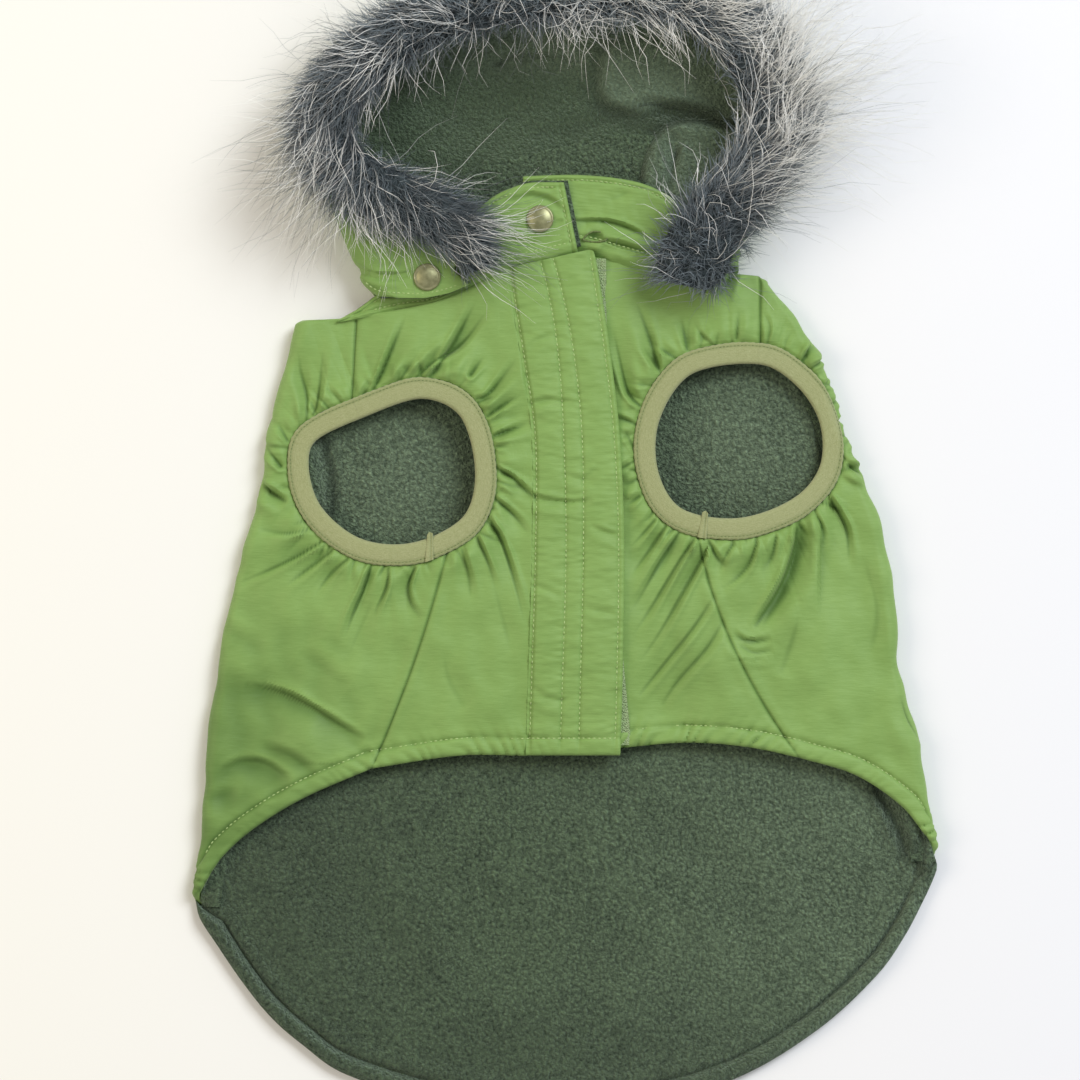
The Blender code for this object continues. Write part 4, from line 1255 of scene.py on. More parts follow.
def back_relief(x, y, on_welt, seam):
    """The lining's soft swells, its folds, and the roll of the welt round the tail."""
    height = 0.35 * swell(x, y, 60, 71) + 0.16 * swell(x, y, 17, 72)
    height += folded(x, y, FOLDS_BACK)[0]
    flap = slope((flap_rise(x, y) - 0.45) / 6)
    height += 3.2 * flap * slope((y + 172) / 22) * slope((-100 - y) / 12)
    height += 1.8 * slope((-112 - x) / 7) * hump(y - 30, 30)
    height += 1.8 * slope((x - 117) / 6) * hump(y - 50, 30)
    edge = np.where(x < 0, -x - side_edge(-1, y), x - side_edge(1, y))
    height += 0.75 * slope((edge + 1.5) / 2.5)
    corner = slope((y + 176) / 12) * slope((np.abs(x) - 150) / 14)
    roll = WELT_RISE * np.sin(pi * np.clip(on_welt, 0, 1)) ** 0.55 * (1 - 0.6 * corner)
    roll = roll * (1 + 0.12 * swell(x, y, 22, 73) + 0.07 * swell(x, y, 6, 74))
    groove = 1.3 * hump(seam, 1.15) * (1 - 0.7 * corner)
    lip = 0.7 * hump(seam - 5.0, 3.0) * (1 - corner)
    return height * slope(1 - on_welt) + roll - groove + lip


def back_marks(x, y, on_welt, seam):
    """Painted light and shade on the back's fleece: paler round the leg holes and towards the
    right, darker in its folds, seams and towards the left and bottom.
    """
    # Painted light round the leg holes and towards the lower right.
    painted_light = np.maximum(hump(np.hypot(x + 78, y - 33), 48), hump(np.hypot(x - 85, y - 49), 48))
    flap = slope(flap_rise(x, y) / 3) * slope((-95 - y) / 12)
    right = slope((x + 40) / 180) * slope((-60 - y) / 40)
    painted_light = np.maximum(0.58 * painted_light, 0.38 * right * (1 - 0.5 * flap))
    # Painted shade, darker towards the left and the bottom.
    painted_dimming = np.maximum(0.40 * slope((-20 - x) / 110), 0.34 * slope((-190 - y) / 50))
    valley, _, _ = nearest(curve(FOLDS_BACK[0].points, 30), x, y)
    # Painted shade in the folds, the welt's groove, the welt's left side, the V fold and the flap.
    shades = [folded(x, y, FOLDS_BACK, 1.9)[1],
              0.75 * hump(seam - 0.5, 1.3),
              painted_dimming * slope((-70 - y) / 60),
              0.34 * slope(2 * on_welt) * slope(-x / 90),
              0.6 * hump(valley, 5.0),
              hump(valley, 2.0),
              0.10 * flap * slope((y + 160) / 20)]
    return {"painted_light": painted_light, "painted_shade": np.max(shades, axis=0)}


def back_lining():
    """The fleece that lines the back and shows in the leg holes and on the tail."""
    grid, on_welt, seam = back_rows(0.0, 160, 60, 86, 24, 9.2)
    x, y = grid[..., 0], grid[..., 1]
    base = SHELL + GAP
    height = back_relief(x, y, on_welt, seam)
    height[:3] = 0
    top = np.maximum(base + FLEECE + height - 1.1 * (on_welt > 0.98), base + 0.4)
    face = np.stack([x, y, top], -1)
    back = np.stack([x, y, np.full(x.shape, base)], -1)[::LINING_STEP, ::LINING_STEP]
    marks = back_marks(x, y, on_welt, seam)
    piece = wall("back_fleece", face, back, FLEECE_CLOTH, grid, marks=marks)
    lay(piece, grid, "back_panel")
    return enter(piece, "fleece", "back_lining")


def back_shell():
    """The back panel, a plain sheet of shell cloth under the lining."""
    grid, on_welt, _ = back_rows(SHELL_SHORT, 96, 24, 24, 12)
    x, y = grid[..., 0], grid[..., 1]
    edge = brink((1 - on_welt) * WELT, 1.2) * (on_welt > 0)
    face = np.stack([x, y, SHELL - 0.4 * edge], -1)
    back = np.stack([x, y, np.zeros(x.shape)], -1)[::12, ::12]
    marks = {"painted_shade": np.zeros(x.shape)}
    piece = wall("back_panel", face, back, SHELL_CLOTH, grid, marks=marks)
    lay(piece, grid)
    return enter(piece, "shell_cloth", "back_shell")


# ---- hood

HOOD_ROWS, HOOD_FLOOR, HOOD_TURN, HOOD_WING = 120, 36, 20, 16
HOOD_EASE = 150  # up to here the hood's rows follow its lower edge

# Lower edge of the hood's wings
HOOD_HEM_LEFT = [(-97, 124), (-93, 119), (-87, 115.6), (-77, 114.4), (-65, 114.4),
                 (-54, 116.6), (-42, 121.5)]
HOOD_HEM_RIGHT = 130.0

# Left edges of the two soft rolls inside the hood, upwards
LOBE = [(70, 199), (52, 203), (36, 199), (25, 201), (17, 205), (14, 214), (16, 228), (24, 240)]
CHEEK = [(33, 160), (34, 172), (38, 186), (49, 196), (62, 198), (78, 194)]

FOLDS_HOOD = table(Crease,
    ([(-97, 130), (-92, 126), (-84, 124.6), (-76, 125), (-68, 128)], 1.3, 1.1, 0.3, False),
    ([(-80, 126), (-79, 122)], 1, 0.9, 0),
    ([(-100, 150), (-90, 146), (-82, 148)], 0.8, 2.5, 0.2, False),
)
FOLDS_HOOD_LINING = table(Crease,
    ([(30, 203), (40, 205), (54, 202), (76, 197)], 2.4, 2.6, 0.3, False),
    ([(50, 192), (51, 180), (48, 164)], 2.2, 2, 0.4, False),
    ([(-20, 190), (4, 193), (30, 200)], 0.7, 4, 0.3, False),
    ([(-31, 227), (-30, 222)], 2, 2.2, 0, False),
    ([(-40, 217), (-28, 226), (-8, 227), (10, 224)], 1, 4, 0.4, False),
    ([(-70, 200), (-40, 196), (-10, 204)], 0.7, 8, 0, False),
)


def hood_lining_relief(x, y):
    """Soft lumps of the open hood: a lobe at the right and the cheek's roll below it.

    Gives the height, the painted shade in the valleys and the painted light on the raised cloth."""
    height = 0.5 * swell(x, y, 40, 81) + 0.2 * swell(x, y, 14, 82)
    away, _, side = nearest(curve(LOBE, 40), x, y)
    lobe = slope((0.8 - away * side) / 6.0)
    low = slope((212 - y) / 10)
    # Painted shade along the lobe's edges.
    shade = (0.32 + 0.3 * low) * hump(np.maximum(away * side - 1.0, -2 * away * side), 5.0)
    away, _, side = nearest(curve(CHEEK, 40), x, y)
    cheek = slope((0.6 - away * side) / 4.0) * slope((y - 144) / 14)
    # Painted shade under the cheek's roll.
    under_cheek = hump(np.maximum(away * side, -4 * away * side), 7.0)
    shade = np.maximum(shade * (1 - cheek), 0.85 * under_cheek)
    creased, dark = folded(x, y, FOLDS_HOOD_LINING)
    # Painted light on the lobe, the cheek's roll and the top strip under the fur.
    pale = np.maximum(np.maximum(0.95 * lobe, 0.6 * cheek), slope((y - 212) / 18))
    height = height + 5.5 * lobe + 7.5 * cheek + creased
    return height, np.maximum(shade, dark), pale * (1 - shade)


def hood_part(side, along, depth):
    """Half of every section of the hood, from the middle of its floor to its rim."""
    read = {name: column(along)[:, None] for name, column in hood_read.items()}
    edge = np.abs(read["right"] if side > 0 else read["left"])
    wing = read["wing_right"] if side > 0 else read["wing_left"]
    flat = edge - read["bend"]
    turn = np.radians(read["turn"])
    floor_share = np.linspace(0, 1, HOOD_FLOOR + 1)[None, :]
    angle = turn * np.linspace(0, 1, HOOD_TURN + 1)[None, 1:]
    past = wing * np.linspace(0, 1, HOOD_WING + 1)[None, 1:]
    radius = read["bend"] - depth
    x = np.hstack([flat * floor_share, flat + radius * np.sin(angle),
                   flat + radius * np.sin(turn) + past * np.cos(turn)])
    z = np.hstack([read["lift"] + depth + 0 * flat * floor_share,
                   read["lift"] + read["bend"] - radius * np.cos(angle),
                   read["lift"] + read["bend"] - radius * np.cos(turn) + past * np.sin(turn)])
    inward_x = np.hstack([0 * flat * floor_share, -np.sin(angle), -np.sin(turn) + 0 * past])
    inward_z = np.hstack([1 + 0 * flat * floor_share, np.cos(angle), np.cos(turn) + 0 * past])
    return side * x, z, side * inward_x, inward_z


def hood_surface(depth, relief=None):
    """The hood's grid at a depth inwards; relief moves it further along the same way."""
    along = np.linspace(HOOD[0].along, HOOD[-1].along, HOOD_ROWS + 1)
    parts = [hood_part(-1, along, depth), hood_part(1, along, depth)]
    x, z, in_x, in_z = (np.hstack([left[:, :0:-1], right]) for left, right in zip(*parts))
    y = along[:, None] + 0 * x
    floor_y = neck_line(x[0]) + GAP + 10 * slope((-80 - x[0]) / 9)
    left_hem = np.interp(x[0], *np.array(HOOD_HEM_LEFT).T)
    column = np.arange(x.shape[1])
    hem = np.where(column < len(column) / 2, left_hem, HOOD_HEM_RIGHT)
    from_end = np.minimum(column, column[::-1])
    up = slope((HOOD_TURN + HOOD_WING - from_end) / (0.8 * HOOD_TURN))
    start = floor_y + (hem - floor_y) * up
    ease = np.clip((HOOD_EASE - along) / (HOOD_EASE - HOOD[0].along), 0, 1)[:, None]
    y = y + (start - HOOD[0].along)[None, :] * ease
    if relief is not None:
        rise = relief(x, y, z)
        x, z = x + in_x * rise, z + in_z * rise
    return np.stack([x, y, np.maximum(z, 0.02)], -1)


def hood_arc(points):
    """The cloth's own coordinates on the hood: run from its middle, and along."""
    step = norm(np.diff(points[..., [0, 2]], axis=1), axis=2)
    run = np.hstack([np.zeros((len(points), 1)), np.cumsum(step, axis=1)])
    return np.stack([run - run[:, run.shape[1] // 2:run.shape[1] // 2 + 1], points[..., 1]], -1)


def hood_shell():
    """The hood's outside, with its hemmed wing at the left."""
    def relief(x, y, z):
        on_top = slope((z - 10) / 4)
        rise = (0.3 * swell(x, y, 24, 84) + folded(x, y, FOLDS_HOOD)[0]) * on_top
        hem = y - np.interp(x, *np.array(HOOD_HEM_LEFT).T)
        edge = 0.45 * hump(hem - 2.3, 0.6) + 0.6 * brink(hem, 1.2)
        return -rise + edge * on_top * (x < 0)

    face = hood_surface(0, relief)
    back = hood_surface(SHELL)
    height = face[..., 2] - hood_surface(0)[..., 2]
    # Painted shade in the hood's folds.
    marks = {"painted_shade": painted_shade_of(height, 4)}
    cloth = hood_arc(face)
    back = back[::PLAIN_STEP, ::PLAIN_STEP]
    piece = wall("hood_outer", face, back, SHELL_CLOTH, cloth, marks=marks)
    lay(piece, cloth, "back_fleece", held="folded")
    return enter(piece, "shell_cloth", "hood_shell")


def hood_lining():
    """The hood's fleece, open to the viewer, in soft lumps."""
    near = SHELL + LOOSE

    def relief(x, y, z):
        low = slope((12 - z) / 6)
        return np.clip(hood_lining_relief(x, y)[0] * low, -1.2, 9)

    face = hood_surface(near + FLEECE, relief)
    back = hood_surface(near)
    cloth = hood_arc(face)
    _, shade, pale = hood_lining_relief(face[..., 0], face[..., 1])
    low = slope((16 - face[..., 2]) / 6)
    # Painted shade in the hood's valleys, painted light on its raised cloth, and flatter nubs where
    # it lies low in shade.
    marks = {"painted_shade": shade * low, "painted_light": pale, "painted_flat_shade": low}
    back = back[::PLAIN_STEP, ::PLAIN_STEP]
    piece = wall("hood_fleece", face, back, FLEECE_CLOTH, cloth, marks=marks)
    lay(piece, cloth, "hood_outer", held="folded")
    return enter(piece, "fleece", "hood_lining")


# ---- collar

TAB_LEVEL = 17.2
BAND_LEVEL = 13.6
COLLAR_SPREAD = 2.0
COLLAR_STITCH = 2.4  # from the collar's edges to their stitching
LEFT_SEAM = [(-106, 103.5), (-92, 106.2), (-77, 109.8), (-60, 112.6), (-42, 121.8), (-27, 130.5),
             (-10, 134.8), (5, 138.5)]
LEFT_TOP = [(-105, 105), (-96, 110), (-86, 117), (-73, 122), (-56, 137), (-38, 158), (-20, 167),
            (-1, 168)]
RIGHT_SEAM = [(66, 129.5), (45, 131), (26, 136), (8, 141), (-18, 142)]
RIGHT_TOP = [(66, 146), (52, 159), (34, 168), (8, 171.5), (-20, 171)]
BACK_TOP = [(-60, 162), (-40, 175), (-21, 181), (6, 187), (32, 191), (52, 187), (64, 172)]

LEFT_LEVELS = ((11.5, TAB_LEVEL - 0.4), (10.5, TAB_LEVEL))
RIGHT_LEVELS = ((BAND_LEVEL, BAND_LEVEL), (BAND_LEVEL, BAND_LEVEL))

FOLDS_TAB = table(Crease,
    ([(-31, 158), (-17, 162), (-6, 159), (0, 153)], 0.9, 1.5, 0.4, False),
    ([(-30, 143), (-18, 140), (-6, 141)], 0.5, 1.6, 0.2, False),
    ([(-2, 150), (-6, 149)], 0.5, 0.9, 0),
)
FOLDS_BAND = table(Crease,
    ([(2, 150), (18, 150), (29, 147), (40, 141)], 1.5, 1.3, 0.5, False),
    ([(17, 141), (27, 139), (40, 135)], 1.3, 1.6, 0.4, False),
    ([(10, 143.4), (17, 143.8)], 1.6, 2.4, 0, False),
    ([(20, 160), (30, 164)], 0.4, 2.4, 0, False),
)


def spaced(line, shares):
    """Points of an even line at the given shares of its run."""
    places = np.linspace(0, 1, len(line))
    return np.column_stack([np.interp(shares, places, part) for part in line.T])


Band = namedtuple("Band", "seam top levels folds under")
TAB = Band(LEFT_SEAM, LEFT_TOP, LEFT_LEVELS, FOLDS_TAB, 2.6)
NECKBAND = Band(RIGHT_SEAM, RIGHT_TOP, RIGHT_LEVELS, FOLDS_BAND, 7.0)


def collar_grid(band, rows, columns, under=0.0, over=0.0, spread=0.0):
    """Grid of a collar band: it dips under the neck seam; over and spread let it stand out.

    Gives the points, their plain level, and their distances from the top, seam and end."""
    part = np.linspace(0, 1, columns + 1)
    low = spaced(curve(band.seam, 201), part)
    high = spaced(curve(band.top, 201), part)
    tall = norm(high - low, axis=1)
    if under:
        share = np.concatenate([-under / tall.mean() * np.linspace(1, 0, 7)[:-1],
                                np.linspace(0, 1, rows - 5)])
    else:
        share = np.linspace(0, 1, rows + 1)
    share = share[:, None]
    share = np.where(share > 0.999, share + over / tall.mean(), share)
    grid = low + (high - low) * share[..., None]
    grid[:, -1, 0] += spread
    grid[:, -2, 0] += 0.5 * spread
    rise = slope((part - 0.3) / 0.5)
    low_z = band.levels[0][0] + (band.levels[0][1] - band.levels[0][0]) * rise
    high_z = band.levels[1][0] + (band.levels[1][1] - band.levels[1][0]) * rise
    z = low_z + (high_z - low_z) * np.clip(share, 0, 1)
    if under:
        z = z - 5.0 * np.clip(-share * tall.mean() / under, 0, 1) ** 1.6
    from_end = norm(grid - grid[:, -1:, :], axis=2)
    return grid, z, tall * (1 - share), tall * share, from_end


def collar_relief(x, y, folds):
    """The collar cloth's swells and folds, and its fine slanting ribs."""
    height = 0.30 * swell(x, y, 22, 91) + 0.14 * swell(x, y, 7, 92) + folded(x, y, folds)[0]
    return height + 0.06 * np.sin(2 * pi * (y + 0.12 * x) / 1.7 + swell(x, y, 18, 93))


def collar_band(name, node, band, size, end_stitch):
    """The shell cloth of one end of the collar, stitched round its edges."""
    rows, columns = size
    grid, z, from_top, from_seam, from_end = collar_grid(band, rows, columns, band.under)
    x, y = grid[..., 0], grid[..., 1]
    height = collar_relief(x, y, band.folds)
    rows_of_thread = [from_top, from_seam] + ([from_end] if end_stitch else [])
    for edge in rows_of_thread:
        height += 0.30 * hump(edge - 1.1, 0.9) - 0.55 * hump(edge - COLLAR_STITCH, 0.6)
        height += 0.25 * hump(edge - 4.4, 1.5)
    for edge in (from_top, from_end):
        height -= 0.65 * brink(edge, 1.1)
    height -= 0.5 * hump(from_seam, 0.8)
    # Painted shade in the mouth of the button loop, with the shade of the band's folds and creases.
    mouth = hump(np.hypot((x - 13) / 2.0, y - 143.4), 1.8)
    face = np.stack([x, y, z + height], -1)
    back = np.stack([x, y, z - SHELL], -1)[::PLAIN_STEP, ::PLAIN_STEP]
    back[..., 2] += np.minimum(lowest(height, PLAIN_STEP, PLAIN_STEP), 0)
    _, crease = folded(x, y, band.folds)
    marks = {"painted_shade": np.maximum(np.maximum(painted_shade_of(height, 4), crease), 1.1 * mouth)}
    piece = wall(name, face, back, SHELL_CLOTH, grid, marks=marks)
    lay(piece, grid, name + "_fleece", held="folded")
    return enter(piece, "shell_cloth", node)


def collar_fleece(name, node, band, near, thick, over=0.0, spread=0.0):
    """The fleece inside a band; it shows past the band's top by over, past its end by spread."""
    grid, z, _, _, from_end = collar_grid(band, 24, 96, 0.0, over, spread)
    x, y = grid[..., 0], grid[..., 1]
    height = 0.15 * swell(x, y, 16, 95) - 0.4 * brink(from_end, 1.0)
    sunk = near + 0.3 - 1.15 * np.minimum(collar_relief(x, y, band.folds), 0)
    face = np.stack([x, y, z - sunk + np.minimum(height, 0.15)], -1)
    back = np.stack([x, y, z - sunk - thick], -1)[::PLAIN_STEP, ::PLAIN_STEP]
    piece = wall(name, face, back, FLEECE_CLOTH, grid)
    lay(piece, grid, held="folded")
    return enter(piece, "fleece", node)


def collar():
    """The tab that laps over, the band under it, their fleece, and the fleece behind them."""
    inside = SHELL + GAP
    level = SHELL + LOOSE + FLEECE + GAP + FLEECE
    back_seam = [(x, neck_line(x) + 3) for x in np.linspace(-58, 62, 7)]
    neck = Band(back_seam, BACK_TOP, ((level, level), (level, level)), [], 0.0)
    collar_band("collar_tab", "collar_left", TAB, (42, 192), True)
    collar_band("collar_band", "collar_right", NECKBAND, (66, 150), False)
    collar_fleece("collar_tab_fleece", "collar_left_lining", TAB, inside, COLLAR_FLEECE,
                  0.6, COLLAR_SPREAD)
    collar_fleece("collar_band_fleece", "collar_right_lining", NECKBAND, inside, COLLAR_FLEECE, 1.0)
    collar_fleece("collar_neck_fleece", "collar_back", neck, 0, FLEECE)


# ---- snaps

def snap(name, node, x, y, level, lean):
    """A domed snap cap with a rolled rim and a shallow ring pressed into its face."""
    profile = [(6.1, 0.0), (6.28, 0.25), (6.3, 0.55), (6.15, 0.85), (5.85, 1.08), (5.5, 1.14),
               (5.2, 1.06), (4.9, 1.12), (4.2, 1.42), (3.2, 1.74), (2.1, 1.98), (1.0, 2.12),
               (0.4, 2.16)]
    sides = 56
    angle = np.arange(sides) / sides * 2 * pi
    rings = np.array([[(wide * cos(a), wide * sin(a), up) for a in angle] for wide, up in profile])
    rings[..., 2] += (lean[0] * rings[..., 0] + lean[1] * rings[..., 1]) * (rings[..., 2] > 0.01)
    rings += (x, y, level)
    count = len(profile)
    top = [x, y, level + 2.18]
    points = np.vstack([rings.reshape(-1, 3), [top, [x, y, level]]])
    quads = grid_quads(count, sides, 0, True)
    ring = np.arange(sides)
    after = (ring + 1) % sides
    last = (count - 1) * sides
    crown = np.stack([last + ring, last + after, np.full(sides, count * sides)], 1)
    floor = np.stack([after, ring, np.full(sides, count * sides + 1)], 1)
    piece = mesh_piece(name, points, quads, np.vstack([crown, floor]), SNAP_CAP)
    return enter(piece, "snap_cap", node)


# ---- node patterns

class Pattern(Tree):
    """A geometry node tree with named inputs, a guide going in and a plain mesh coming out."""

    def __init__(self, name, numbers):
        super().__init__(bpy.data.node_groups.new(name, "GeometryNodeTree"))
        face = self.tree.interface
        face.new_socket("Guide", in_out="INPUT", socket_type="NodeSocketGeometry")
        self.keys = {}
        for label, value in numbers.items():
            kind = "NodeSocketMaterial" if label == "Finish" else "NodeSocketFloat"
            kind = "NodeSocketInt" if isinstance(value, int) else kind
            socket = face.new_socket(label, in_out="INPUT", socket_type=kind)
            if label != "Finish":
                socket.default_value = value
            self.keys[label] = socket.identifier
        face.new_socket("Made", in_out="OUTPUT", socket_type="NodeSocketGeometry")
        self.entry = self.tree.nodes.new("NodeGroupInput")

    def given(self, label):
        return Wire(self, self.entry.outputs[label])

    def close(self, geometry):
        """Realizes everything and gives it its finish."""
        real = self.node("GeometryNodeRealizeInstances", {}, {0: geometry})
        smooth = self.node("GeometryNodeSetShadeSmooth", {}, {0: real})
        done = self.node("GeometryNodeSetMaterial", {}, {0: smooth, 2: self.given("Finish")})
        self.node("NodeGroupOutput", {}, {0: done})


def grow(name, guide, pattern, values):
    """The plain mesh that a pattern makes from a guide, which then goes."""
    modifier = guide.modifiers.new("pattern", "NODES")
    modifier.node_group = pattern.tree
    for label, value in values.items():
        modifier[pattern.keys[label]] = value
    bpy.context.view_layer.update()
    evaluated = guide.evaluated_get(bpy.context.evaluated_depsgraph_get())
    mesh = bpy.data.meshes.new_from_object(evaluated)
    mesh.name = name
    made = put(name, mesh)
    old = guide.data
    bpy.data.objects.remove(guide)
    bpy.data.meshes.remove(old)
    return made


def stitch_pattern():
    """Short fat stitches end to end along the guide's lines."""
    made = Pattern("stitches", {"Pitch": 0.0024, "Length": 0.0019, "Width": 0.0005,
                                "Height": 0.0004, "Seed": 3, "Finish": None})
    line = made.node("GeometryNodeMeshToCurve", {}, {0: made.given("Guide")})
    line = made.node("GeometryNodeResampleCurve", {"mode": "LENGTH"},
                     {0: line, "Length": made.given("Pitch")})
    tangent = made.node("GeometryNodeInputTangent")
    flat = made.node("FunctionNodeAlignRotationToVector", {"axis": "X"}, {"Vector": tangent})
    up = made.node("FunctionNodeAlignRotationToVector", {"axis": "Z", "pivot_axis": "X"},
                   {"Rotation": flat, "Vector": (0.0, 0.0, 1.0)})
    bead = made.node("GeometryNodeMeshUVSphere", {}, {"Segments": 6, "Rings": 4, "Radius": 0.5})
    size = made.node("ShaderNodeCombineXYZ", {}, {0: made.given("Length"), 1: made.given("Width"),
                                                  2: made.given("Height")})
    vary = made.node("FunctionNodeRandomValue", {"data_type": "FLOAT"},
                     {2: 0.85, 3: 1.12, "Seed": made.given("Seed")}, 1)
    size = made.vector("SCALE", size, vary)
    beads = made.node("GeometryNodeInstanceOnPoints", {},
                      {"Points": line, "Instance": bead, "Rotation": up, "Scale": size})
    made.close(beads)
    return made


def line_guide(name, lines):
    """An object of open lines, for stitches to follow."""
    points = np.vstack([place(line) for line in lines])
    edges = []
    start = 0
    for line in lines:
        edges += [(start + i, start + i + 1) for i in range(len(line) - 1)]
        start += len(line)
    mesh = bpy.data.meshes.new(name)
    mesh.from_pydata([tuple(point) for point in points], edges, [])
    return put(name, mesh)


def sewn(name, lines, finish, pattern, pitch=STITCH_PITCH, size=(1.75, 0.62, 0.62), seed=3):
    """Stitches along the given lines; size is a stitch's length, width and height."""
    long, wide, high = size
    piece = grow(name, line_guide(name + "_guide", lines), pattern,
                 {"Pitch": pitch * MM, "Length": long * MM, "Width": wide * MM,
                  "Height": high * MM, "Seed": seed, "Finish": finish})
    return enter(piece, "thread")


def on_belly(half, points):
    """Points of the belly's face under a line of (across, along)."""
    across, along = points[:, 0], points[:, 1]
    height, _ = belly_relief(half, across, along)
    return tube(across, along, -height - THREAD_UP, half.side > 0)


def inside_line(line, middle, distance):
    """A line moved sideways towards a point's side of it."""
    step = np.gradient(line, axis=0)
    way = np.column_stack([-step[:, 1], step[:, 0]])
    way /= norm(way, axis=1, keepdims=True)
    if np.sum(way * (np.array(middle) - line)) < 0:
        way = -way
    return line + way * distance


def stitches_body(halves, pattern):
    """The rows along the hem and the four rows of the fly."""
    lines = []
    for half in halves:
        hem = inside_line(curve(half.hem_line[::3], 260), (0, 0), HEM_BAND)
        fold = np.where(hem[:, 0] < 0, fold_line(-1, hem[:, 1]), fold_line(1, hem[:, 1]))
        shown = np.abs(hem[:, 0]) < fold + 3
        if half.side > 0:
            shown &= hem[:, 0] > fly_free(hem[:, 1]) + 0.8
        lines.append(on_belly(half, hem[shown]))
    y = np.linspace(FLY_HEM + HEM_BAND, FLY_NECK + 4, 200)
    rows = [(read(y) + step, y) for read, step in FLY_ROWS]
    x = np.linspace(fly_sewn(FLY_HEM) + 1, fly_free(FLY_HEM) + FREE_ROW, 60)
    rows.append((x, np.full(60, FLY_HEM + HEM_BAND)))
    for x, y in rows:
        lines.append(tube(x, y, -placket_relief(x, y) - PLACKET_RISE - THREAD_UP))
    sewn("stitches_body", lines, THREAD, pattern)


def stitches_binding(halves, pattern):
    """A fine row round each armhole, near the elastic's sewn edge."""
    rings = []
    for half in halves:
        edge, inward = ring_frame(half)
        ground = edge + inward * 1.5
        run = np.arange(BIND_STEPS) * norm(edge[1] - edge[0])
        points = tube(ground[:, 0], ground[:, 1], -binding_height(1.5, run) - 0.05, half.side > 0)
        rings.append(np.vstack([points, points[:1]]))
    sewn("stitches_binding", rings, DARK_THREAD, pattern, 1.7, (1.2, 0.45, 0.4), 5)


def stitches_collar(pattern):
    """The rows round the tab, along the band, and along the hem of the hood's left wing."""
    lines = []
    for band, has_end in ((TAB, True), (NECKBAND, False)):
        grid, z, from_top, from_seam, from_end = collar_grid(band, 120, 192)
        last = 192 - (8 if has_end else 0)
        for distance in (from_top, from_seam):
            columns = np.arange(30, last)
            rows = np.argmin(np.abs(distance[:, columns] - COLLAR_STITCH), axis=0)
            lines.append(np.column_stack([grid[rows, columns], z[rows, columns] - 0.05]))
        if has_end:
            column = int(np.argmin(np.abs(from_end[60] - COLLAR_STITCH)))
            rows = np.arange(12, 108, 4)
            lines.append(np.column_stack([grid[rows, column], z[rows, column] - 0.05]))
    hem = curve(HOOD_HEM_LEFT, 80)
    hem = inside_line(hem, (-70, 150), 2.3)[8:]
    level = 2 * HOOD[0].bend
    lines.append(np.column_stack([hem, np.full(len(hem), level - 0.3)]))
    sewn("stitches_collar", lines, THREAD, pattern, 2.2, (1.6, 0.6, 0.6), 7)


def button_loop(pattern):
    """A small loop of close stitches at the opening of the band."""
    loop = curve([(8, 142), (12, 145.2), (17, 144.8), (19, 142), (15, 140.6), (10, 141)], 40, True)
    level = BAND_LEVEL + 0.5 + 0.7 * np.sin(np.arange(40) / 3.0)
    sewn("button_loop", [np.column_stack([loop, level])], DARK_THREAD, pattern, 0.7,
         (1.1, 0.9, 0.9), 9)


# ---- fur

FUR_END, FUR_TOP = 0.288, 0.055  # the hair's furthest reach in the frame
FUR_BODY = 9.0  # height of the backing's roll, well inside the hair
FUR_WIDE = 0.72  # the backing's share of the strip's half width
FUR_PROFILE = 16
FUR_STATIONS = 160
FUR_STRETCHES = {"left": (0, 53), "top": (53, 106), "right": (106, 159)}

# The two kinds of hair, in metres and in hairs to a square metre
SHORT_HAIR = {"Density": 860000.0, "Length": 0.0095, "Spread": 0.35, "Stand": 0.6, "Lean": 0.7,
              "Stray": 0.4, "Swirl": 0.3, "Wisp": 0.35, "Cells": 240.0, "Droop": 0.15,
              "Curl": 0.6, "Wave": 110.0, "Kink": 0.3, "Thick": 0.00016, "Joints": 3,
              "Finish": UNDERFUR}
LONG_HAIR = {"Density": 320000.0, "Length": 0.028, "Spread": 0.6, "Stand": 0.34, "Lean": 1.0,
             "Stray": 0.5, "Swirl": 0.6, "Wisp": 0.68, "Cells": 120.0, "Droop": 0.2,
             "Curl": 0.75, "Wave": 34.0, "Kink": 0.35, "Thick": 0.000122, "Joints": 6,
             "Finish": GUARD_HAIR}


